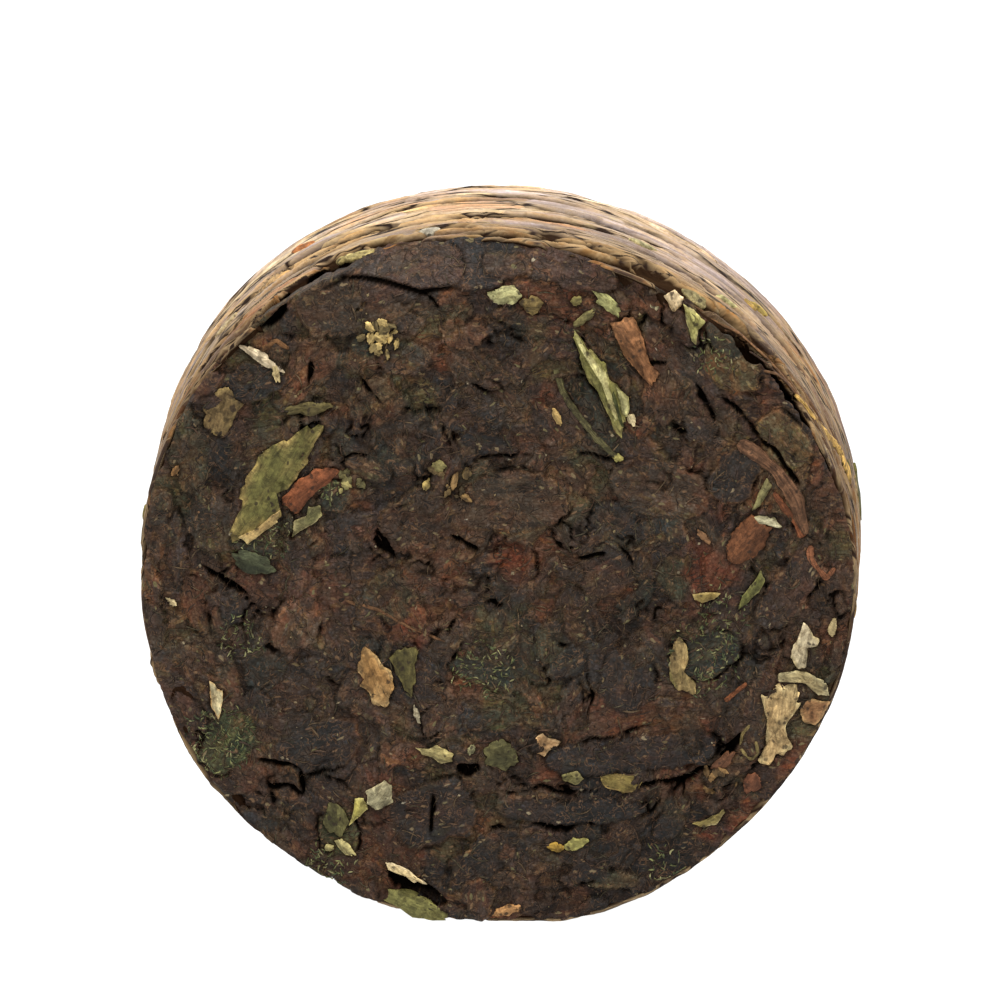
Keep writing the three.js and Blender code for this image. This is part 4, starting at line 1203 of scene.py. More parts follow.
# %% Drawn outlines
DRAWN_FLAKES = [
    # colour, colour at the rim, lift, curl, outline in mm from the middle of the face
    ((104, 100, 54), (158, 138, 84), 0.12, 0.05, [  # torn olive leaf
        (-6.97, 6.52), (-6.8, 6.28), (-7.16, 5.64), (-7.36, 5.02), (-7.75, 4.41), (-8.21, 3.93),
        (-8.73, 3.69), (-8.57, 3.32), (-8.42, 2.91), (-8.63, 2.53), (-9.26, 2.16), (-9.88, 1.68),
        (-10.24, 2.16), (-10.3, 2.5), (-10.04, 3.05), (-9.96, 3.73), (-9.78, 4.34), (-9.46, 4.88),
        (-9.1, 5.5), (-8.54, 5.84), (-7.88, 6.19)]),
    ((180, 152, 100), (192, 170, 118), 0.2, 0.05, [  # its pale lower end, turned over
        (-8.47, 3.05), (-8.54, 2.57), (-9.13, 2.16), (-9.79, 1.61), (-10.11, 1.95), (-9.39, 2.29),
        (-8.8, 2.84)]),
    ((136, 80, 50), (122, 74, 48), 0.1, 0.0, [  # red brown chip beside it
        (-8.41, 3.52), (-7.69, 4.27), (-7.1, 4.68), (-6.54, 4.82), (-6.22, 4.61), (-6.51, 4.17),
        (-7.03, 3.83), (-7.43, 3.39), (-7.72, 2.94), (-8.15, 2.91)]),
    ((112, 108, 68), (176, 164, 118), 0.1, 0.04, [  # small green chip below that
        (-8.05, 1.88), (-7.95, 2.57), (-7.43, 2.84), (-7.36, 3.21), (-6.97, 3.18), (-6.84, 2.81),
        (-7.16, 2.5), (-7.69, 2.16)]),
    ((122, 101, 66), (134, 115, 72), 0.05, 0.0, [  # dull olive plate at the left
        (-11.55, 7.58), (-10.5, 7.99), (-9.94, 7.28), (-10.3, 6.52), (-10.6, 5.95), (-11.52, 6.29),
        (-11.35, 6.86)]),
    ((166, 126, 76), (188, 158, 110), 0.1, 0.05, [  # tan flake left of the middle
        (-5.21, -2.39), (-4.55, -3.06), (-3.98, -3.78), (-4.06, -4.41), (-4.34, -4.95), (-4.87, -4.79),
        (-5.03, -4.32), (-5.35, -4.11), (-5.17, -3.86), (-5.45, -3.48), (-5.31, -2.86)]),
    ((88, 81, 46), (134, 124, 70), 0.1, 0.03, [  # green flake beside it
        (-4.14, -3.02), (-3.66, -2.46), (-3.26, -2.39), (-3.0, -2.64), (-3.16, -3.23), (-3.14, -3.9),
        (-3.3, -4.47), (-3.5, -4.33), (-3.9, -3.65)]),
    ((192, 162, 114), (212, 190, 140), 0.14, 0.06, [  # large tan flake at the right
        (10.54, -4.35), (11.09, -3.84), (11.55, -3.88), (12.04, -4.17), (12.01, -4.71), (11.75, -5.23),
        (11.46, -5.62), (11.55, -6.1), (11.84, -6.58), (11.26, -6.86), (10.86, -7.09), (10.45, -6.91),
        (10.75, -6.43), (10.73, -5.8), (10.65, -5.07)]),
    ((206, 190, 156), (194, 176, 134), 0.14, 0.05, [  # white flake above it
        (12.16, -1.45), (12.53, -1.69), (12.74, -2.02), (12.68, -2.28), (12.36, -2.27), (12.3, -2.72),
        (12.29, -3.2), (12.01, -3.2), (11.61, -2.78), (11.78, -2.3)]),
    ((158, 142, 102), (190, 178, 138), 0.12, 0.0, [  # pale strip between them
        (11.14, -3.5), (11.9, -3.32), (12.42, -3.44), (12.97, -3.77), (13.23, -4.35), (12.77, -4.35),
        (12.48, -3.93), (11.84, -3.68), (11.18, -3.77)]),
    ((158, 114, 76), (186, 150, 104), 0.16, 0.05, [  # orange chip at the right rim
        (12.1, -4.41), (12.65, -4.5), (13.2, -4.65), (13.03, -5.13), (12.68, -5.56), (12.13, -5.41),
        (12.04, -4.95)]),
    ((164, 140, 94), (132, 122, 72), 0.12, 0.04, [  # pale upright flake
        (7.28, -2.0), (7.57, -2.3), (7.63, -2.96), (7.47, -3.44), (7.76, -3.74), (7.96, -3.96),
        (7.87, -4.29), (7.33, -4.14), (6.95, -3.87), (6.91, -3.26), (6.86, -2.84), (7.0, -2.36)]),
    ((150, 134, 80), (196, 180, 132), 0.1, 0.05, [  # olive tan chip at the lower right
        (7.76, -9.69), (8.37, -9.51), (8.83, -9.18), (8.97, -8.94), (9.09, -9.24), (8.77, -9.69),
        (8.25, -9.84)]),
    ((136, 132, 74), (160, 150, 94), 0.28, -0.2, [  # rolled green leaf
        (2.99, 10.37), (3.26, 10.33), (3.56, 9.83), (3.88, 9.48), (4.31, 9.1), (4.53, 8.42), (4.83, 8.23),
        (5.19, 7.97), (5.3, 7.54), (5.15, 7.11), (5.17, 6.55), (4.99, 6.12), (4.67, 6.36), (4.56, 6.88),
        (4.31, 7.35), (4.04, 7.97), (3.63, 8.35), (3.47, 8.96), (3.29, 9.53)]),
    ((108, 68, 42), (124, 79, 50), 0.16, -0.1, [  # curled brown leaf
        (10.1, 3.04), (10.39, 2.65), (10.94, 2.53), (10.68, 2.04), (10.51, 1.62), (10.22, 1.14),
        (9.76, 1.08), (9.18, 1.26), (9.0, 1.68), (9.26, 2.22), (9.64, 2.65)]),
    ((204, 196, 160), (176, 166, 124), 0.2, 0.0, [  # white chip on it
        (10.19, 2.95), (10.57, 3.06), (10.97, 2.94), (11.29, 2.56), (11.12, 2.51), (10.68, 2.62),
        (10.28, 2.59)]),
    ((124, 118, 78), (140, 130, 86), 0.12, 0.0, [  # green tan sliver
        (10.68, 4.53), (10.88, 4.25), (10.68, 3.82), (10.39, 3.37), (10.15, 3.3), (10.36, 3.91)]),
    ((108, 108, 58), (140, 136, 84), 0.14, 0.04, [  # pointed green leaf
        (10.46, 0.84), (10.6, 0.35), (10.39, -0.1), (10.02, -0.46), (9.63, -0.77), (9.71, -0.28),
        (10.05, 0.14), (10.34, 0.5)]),
    ((160, 138, 78), (186, 164, 108), 0.1, 0.0, [  # tan strip
        (7.8, -0.2), (8.31, -0.12), (8.92, -0.18), (8.63, -0.4), (8.19, -0.54), (7.83, -0.43)]),
    ((168, 154, 102), (190, 176, 124), 0.1, 0.03, [  # tan olive chip below the middle
        (-3.09, -6.66), (-2.6, -6.74), (-2.31, -6.55), (-1.72, -6.88), (-1.72, -7.19), (-2.16, -7.29),
        (-2.53, -7.02), (-2.85, -6.95)]),
    ((182, 142, 98), (206, 174, 130), 0.12, 0.05, [  # tan chip below the middle
        (1.31, -6.37), (1.86, -6.01), (2.17, -6.28), (2.6, -6.41), (2.25, -6.7), (1.95, -7.04),
        (1.46, -6.74)]),
    ((116, 110, 68), (150, 140, 92), 0.08, 0.0, [  # olive chip
        (2.59, -7.71), (3.24, -7.54), (3.56, -7.87), (3.16, -8.12), (2.67, -7.96)]),
    ((132, 116, 64), (170, 144, 90), 0.12, 0.0, [  # olive yellow chip
        (4.08, -7.75), (4.44, -7.64), (5.61, -7.64), (5.89, -7.92), (5.69, -8.3), (5.09, -8.47),
        (4.36, -8.21)]),
    ((212, 200, 158), (206, 164, 104), 0.16, 0.0, [  # pale splinter at the left
        (-11.3, -4.0), (-11.09, -4.05), (-10.96, -4.33), (-10.76, -4.42), (-10.84, -5.2), (-10.96, -5.49),
        (-11.25, -4.98)]),
    ((170, 162, 128), (190, 180, 142), 0.14, 0.04, [  # grey green chip at the lower left
        (-5.13, -8.47), (-4.39, -7.96), (-4.14, -8.23), (-4.03, -8.83), (-4.74, -9.22), (-5.07, -8.97)]),
    ((168, 158, 84), (198, 186, 118), 0.12, 0.0, [  # yellow green chip below it
        (-5.56, -8.78), (-5.22, -8.78), (-5.03, -9.22), (-5.39, -9.57), (-5.79, -9.87), (-5.59, -9.22)]),
    ((182, 178, 126), (200, 194, 146), 0.14, 0.0, [  # pale green chip at the top
        (-0.35, 11.97), (0.25, 12.18), (0.74, 12.22), (1.14, 11.76), (0.58, 11.42), (-0.23, 11.55)]),
    ((216, 192, 152), (196, 168, 122), 0.2, 0.0, [  # white chip at the upper right
        (6.63, 11.85), (7.04, 12.07), (7.38, 11.78), (7.31, 11.5), (6.97, 11.28), (6.83, 11.5)]),
    ((142, 98, 64), (152, 108, 72), 0.34, -0.12, [  # brown splinter of a stalk
        (4.53, 10.75), (5.08, 11.04), (5.44, 10.9), (5.8, 10.33), (5.92, 9.62), (6.05, 9.15), (6.44, 8.77),
        (6.35, 8.32), (6.16, 8.35), (5.71, 8.72), (5.26, 9.15), (4.9, 9.86), (4.58, 10.33)]),
    ((160, 154, 94), (186, 176, 120), 0.2, 0.04, [  # yellow green chip beside it
        (7.38, 11.57), (7.99, 11.14), (8.3, 10.86), (7.99, 10.51), (7.89, 10.01), (7.71, 10.15),
        (7.58, 10.72)]),
    ((206, 198, 140), (182, 176, 112), 0.42, -0.05, [  # pale ridge of the rolled leaf
        (3.15, 10.38), (3.77, 9.54), (4.36, 8.86), (4.6, 8.04), (4.84, 7.36), (5.1, 6.4), (4.9, 6.25),
        (4.57, 7.25), (4.32, 7.93), (4.08, 8.75), (3.53, 9.43), (3.02, 10.3)]),
    ((70, 74, 40), (84, 86, 48), 0.4, 0.0, [  # dark green strip beside it, the valley of the roll with painted shade
        (4.64, 8.12), (4.78, 7.7), (4.95, 7.1), (5.08, 6.6), (4.98, 6.55), (4.84, 7.0), (4.68, 7.6),
        (4.55, 8.0)]),
    ((190, 184, 130), (170, 164, 108), 0.4, 0.0, [  # pale lobe at its right
        (4.74, 8.2), (5.02, 8.05), (5.22, 7.8), (5.3, 7.4), (5.14, 7.0), (4.97, 7.2), (4.87, 7.7)]),
    ((222, 198, 146), (236, 216, 176), 0.3, 0.05, [  # pale splinter at the foot
        (-4.31, -11.39), (-4.0, -11.43), (-3.48, -11.67), (-3.02, -12.06), (-2.68, -12.31), (-3.25, -12.3),
        (-3.55, -12.06), (-3.93, -11.82), (-4.19, -11.74)]),
]
print(f"{len(DRAWN_FLAKES)} flakes drawn, with {sum(len(row[-1]) for row in DRAWN_FLAKES)} corners")

# %% [markdown]
# ## Small chips
# Smaller chips are too small to show a shape, so torn ovals stand in for them, listed where they show.
# Bits of broken bud lie in clumps, so only the clump is listed and its bits are drawn.

# %% Chips and clumps
SMALL_CHIPS = [
    # x, y, length, width, turn, colour
    (-9.2, 9.2, 1.9, 0.42, -30, (212, 194, 162)),
    (5.37, 6.88, 0.5, 0.32, -60, (206, 188, 146)),
    (4.81, 5.32, 0.45, 0.32, -20, (184, 174, 102)),
    (1.46, 11.46, 0.9, 0.7, 0, (118, 100, 60)),
    (2.45, 6.9, 0.8, 0.26, -65, (188, 158, 100)),
    (-2.2, 4.9, 0.5, 0.45, 0, (134, 124, 78)),
    (-2.7, 4.1, 0.5, 0.35, 70, (172, 150, 92)),
    (-1.6, 4.3, 0.7, 0.3, 80, (150, 120, 78)),
    (-1.15, 3.6, 0.55, 0.25, -30, (138, 110, 68)),
    (-3.1, -5.3, 0.75, 0.22, -75, (190, 178, 148)),
    (-6.6, -10.8, 0.4, 0.3, 0, (176, 166, 112)),
    (-5.96, -10.8, 1.0, 0.38, -45, (190, 178, 122)),
    (-6.35, -9.6, 1.0, 1.3, 0, (94, 90, 54)),
    (0.29, -6.87, 1.5, 1.15, 10, (88, 84, 52)),
    (-0.95, -6.7, 0.25, 0.45, -15, (160, 156, 116)),
    (2.41, -10.69, 0.68, 0.38, 5, (176, 142, 62)),
    (3.16, -10.5, 1.0, 0.45, 15, (148, 142, 82)),
    (0.45, -13.35, 1.2, 0.45, 15, (190, 142, 92)),
    (-3.1, -13.25, 2.9, 0.85, -22, (130, 126, 74)),
    (10.2, -8.0, 0.9, 0.7, 60, (114, 72, 50)),
    (9.0, -7.1, 1.1, 0.4, 40, (108, 72, 50)),
    (-12.76, -0.85, 0.55, 0.22, -35, (216, 196, 150)),
    (-9.6, 0.9, 1.9, 0.8, -20, (72, 76, 54)),
    (-7.3, 7.2, 1.9, 0.5, 10, (96, 86, 52)),
    (4.38, 11.6, 1.25, 0.5, -40, (160, 158, 104)),
    (3.5, 10.95, 1.05, 0.36, 38, (116, 108, 68)),
    (3.2, 11.65, 0.42, 0.4, 0, (132, 122, 72)),
    (-8.6, 8.6, 0.3, 0.7, 10, (196, 176, 128)),
    (8.2, 2.1, 0.7, 0.25, -45, (150, 112, 78)),
    (13.3, -1.6, 0.9, 0.3, 80, (196, 176, 130)),
    (-12.6, 4.6, 0.5, 0.3, 60, (150, 112, 70)),
]
CLUMP_SEED = 75
CLUMPS = [
    # x, y, reach, number of bits, colour
    (-4.55, 10.05, 0.75, 26, (186, 162, 106)),
    (-5.85, 4.15, 0.6, 12, (144, 134, 86)),
    (-1.8, 4.2, 0.9, 7, (128, 106, 68)),
    (9.0, -8.0, 0.8, 8, (150, 118, 76)),
]


def clump_chips(random):
    """Bits of broken bud that lie close together: small ovals any way up, each a little lighter or darker."""
    for x, y, reach, count, tone in CLUMPS:
        for _ in range(count):
            right, up = polar(reach * random.uniform() ** 0.7, random.uniform(0, 2 * np.pi))
            length = random.uniform(0.2, 0.52)
            yield (x + right, y + up, length, length * random.uniform(0.4, 0.8), random.uniform(0, 180),
                   np.array(tone) * random.uniform(0.55, 1.25))


chips = [*SMALL_CHIPS, *clump_chips(np.random.default_rng(CLUMP_SEED))]
print(f"{len(chips)} chips on the front")

# %% [markdown]
# ## Flakes on every side
# The front has what is drawn and listed, the back and the far side of the wall have flakes of the same
# sizes and colours from draws. The mat gets a dark ring round each flake, as a crevice holds less light.

# %% Flakes on every side
FLAKE_TONES = [(172, 146, 98), (150, 138, 86), (110, 106, 58), (196, 180, 142), (128, 84, 54), (96, 90, 54)]
PALE_TONES = 4
SHADE = {"reach": 0.1, "depth": 0.5}
DRAWN_POINTS, CHIP_POINTS, BACK_POINTS = 72, 40, 48
DRAWN_TEAR, CHIP_TEAR, WALL_TEAR = 0.17, 0.35, 0.3
FLAKE_SEED, BACK_FLAKES, WALL_FLAKES = 71, 62, 34
BACK_REACH = 12.6


def front_flakes():
    """The flakes of the front: the drawn outlines, then the small chips as torn ovals."""
    for k, (tone, rim_tone, lift, curl, corners) in enumerate(DRAWN_FLAKES):
        edge = drawn_outline(corners, DRAWN_POINTS, DRAWN_TEAR, 500 + k)
        front_mat.shade(edge, **SHADE)
        yield flake(edge, front_mat, to_front, seen(*tone), seen(*rim_tone), lift, curl, 600 + k)
    for k, (x, y, length, width, turn, tone) in enumerate(chips):
        edge = oval_outline(x, y, length, width, turn, 1.7, CHIP_POINTS, CHIP_TEAR, 700 + k)
        front_mat.shade(edge, **SHADE)
        yield flake(edge, front_mat, to_front, seen(*tone), seen(*tone) * 1.15, 0.1, 0.03, 800 + k)


def back_flakes(random, count):
    """Flakes for the side that doesn't show: torn ovals of the same sizes and colours, drawn."""
    for k in range(count):
        reach, angle = BACK_REACH * np.sqrt(random.uniform()), random.uniform(0, 2 * np.pi)
        length = 0.5 + 2.6 * random.uniform() ** 2
        tone = FLAKE_TONES[random.integers(len(FLAKE_TONES))]
        edge = oval_outline(*polar(reach, angle), length, length * random.uniform(0.35, 0.7),
                            random.uniform(0, 180), random.uniform(1.3, 2.6), BACK_POINTS, CHIP_TEAR, 900 + k)
        back_mat.shade(edge, **SHADE)
        yield flake(edge, back_mat, to_back, seen(*tone), seen(*tone) * random.uniform(1.0, 1.4),
                    random.uniform(0.08, 0.18), random.normal(0, 0.04), 1000 + k)


WALL_CHIPS = [
    # angle, depth behind the front face, length, width, colour
    (43, 7.1, 0.9, 0.5, (228, 198, 106)),
    (45, 6.7, 0.7, 0.45, (220, 182, 98)),
    (52.5, 2.9, 1.6, 0.4, (214, 212, 170)),
    (49, 4.4, 1.5, 0.4, (222, 212, 150)),
    (55.5, 1.8, 1.2, 0.4, (186, 172, 122)),
    (139.3, 4.9, 1.4, 0.7, (230, 206, 160)),
    (123.5, 1.0, 1.2, 0.7, (222, 190, 140)),
    (113.5, 2.2, 1.6, 0.5, (202, 184, 122)),
    (124, 8.1, 1.2, 0.5, (206, 132, 76)),
    (101, 2.9, 0.8, 0.5, (206, 196, 176)),
    (66, 5.0, 1.2, 0.4, (200, 188, 140)),
]


def wall_flakes(random, count):
    """Chips on the wall: those that show, then others round the girth."""
    hidden = [random.uniform(160, 250) if random.uniform() < 0.45 else random.uniform(290, 395)
              for _ in range(count)]
    drawn = [(degrees, random.uniform(0.8, 9.2), 0.6 + 2 * random.uniform() ** 2, None,
              FLAKE_TONES[random.integers(PALE_TONES)]) for degrees in hidden]
    for k, (degrees, behind, length, width, tone) in enumerate(WALL_CHIPS + drawn):
        lift = 0.04 if width is None else 0.1
        width = length * 0.4 if width is None else width
        edge = oval_outline(at_angle(degrees), behind - HALF, length, width, random.normal(0, 8), 1.6,
                            CHIP_POINTS, WALL_TEAR, 1100 + k)
        yield flake(edge, wall_mat, to_wall, on_wall(*tone), on_wall(*tone) * 0.9, lift, 0.02, 1200 + k)


flake_draws = np.random.default_rng(FLAKE_SEED)
all_flakes = [*front_flakes(), *back_flakes(flake_draws, BACK_FLAKES), *wall_flakes(flake_draws, WALL_FLAKES)]
flakes = make_piece("flakes", joined(all_flakes), pale_leaf)

# %% [markdown]
# ## The two faces
# Each face becomes a closed slab. A square grid is bent into a disc, each of its square rings to a circle,
# so the cells are of one size and there is no pole. The rim turns in as a thin layer, as on the real cake,
# where the wall has split away behind it.

# %% Face slabs
FACE_CELLS = 304
LAYER = 0.34
SLAB_DEPTH = 4.5
EDGE_IN, CORE = 0.995, 0.88
TUCK = 0.45
THICK_PLATE, PLATE_DEPTH = (104, 138), 1.0
SPLIT_ANGLES, SPLIT_SHARE = (8, 16, 26, 31, 37, 46, 51), (0, 0.3, 0.25, 0.5, 1.0, 0.9, 0)
SPLIT_WIDTH, SPLIT_DEPTH = 0.14, 1.1


def disc_grid(cells):
    """A square grid bent into a disc: the share of the radius is the larger of |u| and |v|, and the angle
    runs evenly along each side."""
    side = np.linspace(-1, 1, cells + 1)
    u, v = np.meshgrid(side, side)
    share = np.maximum(np.abs(u), np.abs(v))
    sideways = np.abs(u) >= np.abs(v)
    across = np.where(sideways, u, v)
    ratio = np.where(sideways, v, u) / np.where(across == 0, 1, across)
    angle = np.where(sideways, np.pi / 4 * ratio, np.pi / 2 - np.pi / 4 * ratio) + np.pi * (across < 0)
    return share, angle


def grid_faces(rows, columns):
    """The quads of a grid of points, row by row."""
    number = np.arange(rows * columns).reshape(rows, columns)
    corners = [number[:-1, :-1], number[:-1, 1:], number[1:, 1:], number[1:, :-1]]
    return np.stack(corners, axis=-1).reshape(-1, 4)


def border(count):
    """The point numbers round the edge of a square grid, in order."""
    number = np.arange(count * count).reshape(count, count)
    return np.concatenate([number[0, :-1], number[:-1, -1], number[-1, :0:-1], number[:0:-1, 0]])


def split_open(angle):
    """One where the split behind the front layer is widest, falling to nought at its two ends."""
    return np.interp(np.degrees(angle) % 360, SPLIT_ANGLES, SPLIT_SHARE)


def torn_edge(angle, seed, side):
    """How far the layer's torn edge falls short of the outline, in mm: further where the front has split
    away, and where the back is tucked under the wall's lip."""
    x, y = 6 * np.cos(angle), 6 * np.sin(angle)
    bites = SPLIT_WIDTH * (0.4 + 2.4 * np.abs(rough_noise(x, y, 0.35, seed + 7)))
    more = bites * split_open(angle) if side > 0 else TUCK * overhang(angle, BACK_LIP)
    return 0.04 + 0.2 * np.abs(rough_noise(x, y, 0.6, seed, 4)) + more


def face_slab(name, mat, carry, seed, side):
    """The mat's height over a disc, closed behind: a thin layer at the rim, thicker in the plate under the
    front's lip, then a thick middle. side is 1 for the front and -1 for the back."""
    share, angle = disc_grid(FACE_CELLS)
    true_angle = np.arctan2(np.sin(angle), side * np.cos(angle))
    edge = outline(true_angle) - torn_edge(true_angle, seed, side)
    x, y = share * edge * np.cos(angle), share * edge * np.sin(angle)
    marks = mat.sample(x, y)
    marks["sheet_place"] = np.stack([x, y, 0 * x], axis=-1)
    marks = {key: value.reshape(-1, *value.shape[2:]) for key, value in marks.items()}
    height = marks.pop("height")
    points = [carry(x.ravel(), y.ravel(), height)]
    ring = border(FACE_CELLS + 1)
    rim_x, rim_y, rim_h = x.ravel()[ring], y.ravel()[ring], height[ring]
    layer = LAYER + (PLATE_DEPTH * overhang(true_angle.ravel()[ring], THICK_PLATE) if side > 0 else 0 * rim_h)
    rings, count = [ring], x.size
    for inward, level in ((EDGE_IN, rim_h - layer), (CORE, rim_h - layer), (CORE, 0 * rim_h - SLAB_DEPTH)):
        points.append(carry(rim_x * inward, rim_y * inward, level))
        rings.append(count + np.arange(len(ring)))
        count += len(ring)
    points.append(carry(np.zeros(1), np.zeros(1), np.full(1, -SLAB_DEPTH)))
    bands = [band_faces(b, a) for a, b in zip(rings, rings[1:])]
    quads = np.concatenate([grid_faces(FACE_CELLS + 1, FACE_CELLS + 1), *bands])
    faces = [quads, fan_faces(rings[-1][::-1], count)]
    hidden = np.resize(ring, count + 1 - x.size)
    marks = {key: np.concatenate([value, value[hidden]]) for key, value in marks.items()}
    # Painted shade: the hidden points behind the layer take the full gap mark, so the split behind it looks
    # dark.
    marks["gap"][x.size + len(ring):] = 1
    marks["sheet_place"][x.size:x.size + len(ring)] *= 1 + layer[:, None] / RADIUS
    marks["leaf_place"][x.size:x.size + len(ring), 1] += layer
    return make_piece(name, Shape(np.concatenate(points), faces, marks), face_leaf)


front_face = face_slab("front_face", front_mat, to_front, 31, 1)
back_face = face_slab("back_face", back_mat, to_back, 32, -1)

# %% [markdown]
# ## The wall
# The mould's ring has left a straight wall round the cake, with a lip over each face. A cylinder moved by
# a picture could carry its strips, but not the lips and the split. So the wall is a closed ring: its mat
# bent round the cake, its corners rounded, and a hidden return inside. The grid runs round the girth and
# round the section, so it closes on itself both ways. At the upper right its front edge stands back, which
# leaves the open split behind the front layer.

# %% Wall ring
WALL_COLUMNS = 920
WALL_ROWS = 98
WALL_CORNER = 0.12
LIP_WIDTH = 0.07
LIP_ANGLES, LIP_BACK = (70, 86, 104, 112, 121, 127, 133), (0, 1.2, 2.1, 2.1, 2.7, 2.0, 0)
# the hidden return: steps in from the back edge, and heights, mirrored at the front
BACK_RETURN = [(-0.05, -0.22), (-1.2, -0.3), (-1.5, -1.6)]
LIP_HIGHLIGHT_GOLD = on_wall(178, 132, 82)


def lips(angle):
    """Where the wall starts and ends: behind the worn corner of each face, flush where the lip overhangs, and
    further back where the front layer has split away or its corner is torn off."""
    x, y = 9 * np.cos(angle), 9 * np.sin(angle)
    wave = np.abs(rough_noise(x, y, 1.1, 41, 5))
    worn = 0.8 * corner_round(angle) + 0.1
    ragged = 0.6 * rough_noise(x, y, 0.7, 44) + 0.5 * rough_noise(x, y, 0.3, 45)
    split = SPLIT_DEPTH * split_open(angle) * (1 + ragged)
    sunk = np.interp(np.degrees(angle) % 360, LIP_ANGLES, LIP_BACK)
    front = -HALF + 0.02 + 0.22 * wave + worn * (1 - overhang(angle, FRONT_LIP)) + split + sunk
    back = HALF - 0.02 - 0.2 * np.roll(wave, len(angle) // 3) - worn * (1 - overhang(angle, BACK_LIP))
    return front, back


def wall_ring(name, mat):
    """The wall's height over girth and width, with a quarter round at both lips and a return inside."""
    x = np.arange(WALL_COLUMNS) * GIRTH / WALL_COLUMNS
    angle = -x / RADIUS
    front, back = lips(angle)
    share = np.linspace(0, 1, WALL_ROWS)
    share = share - 0.08 * np.sin(2 * np.pi * share)
    y = front[:, None] + (back - front)[:, None] * share
    marks = mat.sample(np.repeat(x[:, None], WALL_ROWS, axis=1), y)
    from_foot = np.repeat(((x - GIRTH / 4) % GIRTH)[:, None], WALL_ROWS, axis=1)
    marks["sheet_place"] = np.stack([from_foot, y, 0 * y], axis=-1)
    end = np.minimum(y - front[:, None], back[:, None] - y)
    fall = WALL_CORNER - np.sqrt(WALL_CORNER**2 - np.clip(WALL_CORNER - end, 0, WALL_CORNER) ** 2)
    height = marks.pop("height") - fall
    # Painted highlight: the wall's edge turns from chocolate at the foot to gold at the top, where it faces
    # the light; the gold also stands for the leaf's pale edges.
    lip_highlight = smooth_step(1.2 * np.sin(angle) + 0.4) * smooth_step(0.55 + 1.2 * rough_noise(x, 0 * x, 1.1, 43))
    lip = CHOCOLATE + (LIP_HIGHLIGHT_GOLD - CHOCOLATE) * lip_highlight[:, None]
    weight = 1 - smooth_step((end - 0.03) / LIP_WIDTH)
    marks["leaf_colour"] += (lip[:, None] - marks["leaf_colour"]) * weight[..., None]
    inner = [back + step for step, _ in BACK_RETURN] + [front - step for step, _ in BACK_RETURN[::-1]]
    depths = [depth for _, depth in BACK_RETURN + BACK_RETURN[::-1]]
    y = np.concatenate([y, np.stack(inner, axis=1)], axis=1)
    height = np.concatenate([height, np.tile(depths, (WALL_COLUMNS, 1))], axis=1)
    hidden = len(inner)
    marks = {key: np.concatenate([value, value[:, [-1] * hidden]], axis=1) for key, value in marks.items()}
    # Painted shade on the hidden return: darker chocolate with the full gap mark, so the split looks dark
    # inside.
    marks["leaf_colour"][:, -hidden:] = CHOCOLATE * 0.6
    marks["gap"][:, -hidden:] = 1
    marks = {key: value.reshape(-1, *value.shape[2:]) for key, value in marks.items()}
    number = np.arange(y.size).reshape(y.shape)
    around = np.roll(number, -1, 0)
    faces = np.stack([number, around, np.roll(around, -1, 1), np.roll(number, -1, 1)], axis=-1).reshape(-1, 4)
    points = to_wall(np.repeat(x[:, None], y.shape[1], axis=1), y, height).reshape(-1, 3)
    return make_piece(name, Shape(points, [faces], marks), wall_leaf)


wall_piece = wall_ring("wall", wall_mat)

# %% [markdown]
# ## Tubes
# Leaf stalks and torn veins lie on the mat as twigs, and the rubbed surface is full of loose fibres. Both
# are tubes: a ring of points carried along a path. A curve with a bevel would do for one, but with
# thousands it is better to work out all of a kind at once, as one array.

# %% Tubes along paths


def tubes(paths, radii, sides, flatness):
    """Closed tubes along many paths at once: at each step an oval ring square to the path, as flat as asked,
    with a radius for each step and side, and one point at each end that closes it."""
    count, steps, _ = paths.shape
    forward = np.gradient(paths, axis=1)
    forward /= np.linalg.norm(forward, axis=-1, keepdims=True)
    sideways = np.cross(forward, (0, 0, 1))
    sideways /= np.linalg.norm(sideways, axis=-1, keepdims=True)
    rise = np.cross(sideways, forward)
    turn = np.arange(sides)[:, None] * 2 * np.pi / sides
    ring = np.cos(turn) * sideways[:, :, None] + flatness * np.sin(turn) * rise[:, :, None]
    skin = paths[:, :, None] + radii[..., None] * ring
    points = np.concatenate([skin.reshape(count, -1, 3), paths[:, [0, -1]]], axis=1)
    number = np.arange(steps * sides).reshape(steps, sides)
    quads = np.concatenate([band_faces(a, b) for a, b in zip(number, number[1:])])
    first_tip, last_tip = steps * sides, steps * sides + 1
    fans = np.concatenate([fan_faces(number[0][::-1], first_tip), fan_faces(number[-1], last_tip)])
    start = np.arange(count)[:, None, None] * (last_tip + 1)
    faces = [(fans + start).reshape(-1, 3), (quads + start).reshape(-1, 4)]
    return points.reshape(-1, 3), faces, last_tip + 1


def smooth_path(corners, steps):
    """A path through corners at even steps, its bends rounded by averaging neighbours."""
    corners = np.array(corners, float)
    run = np.concatenate([[0], np.cumsum(np.hypot(*np.diff(corners, axis=0).T))])
    path = np.stack([np.interp(np.linspace(0, run[-1], steps), run, corners[:, k]) for k in (0, 1)], axis=1)
    for _ in range(3):
        path[1:-1] = (path[:-2] + 2 * path[1:-1] + path[2:]) / 4
    return path


# %% [markdown]
# ## Twigs
# Stalks of red brown and yellow lie half sunk in the mat, most of them at the right. Their paths are
# listed where they show. Each tube is flat, knotty and grooved, as a dry stalk is.

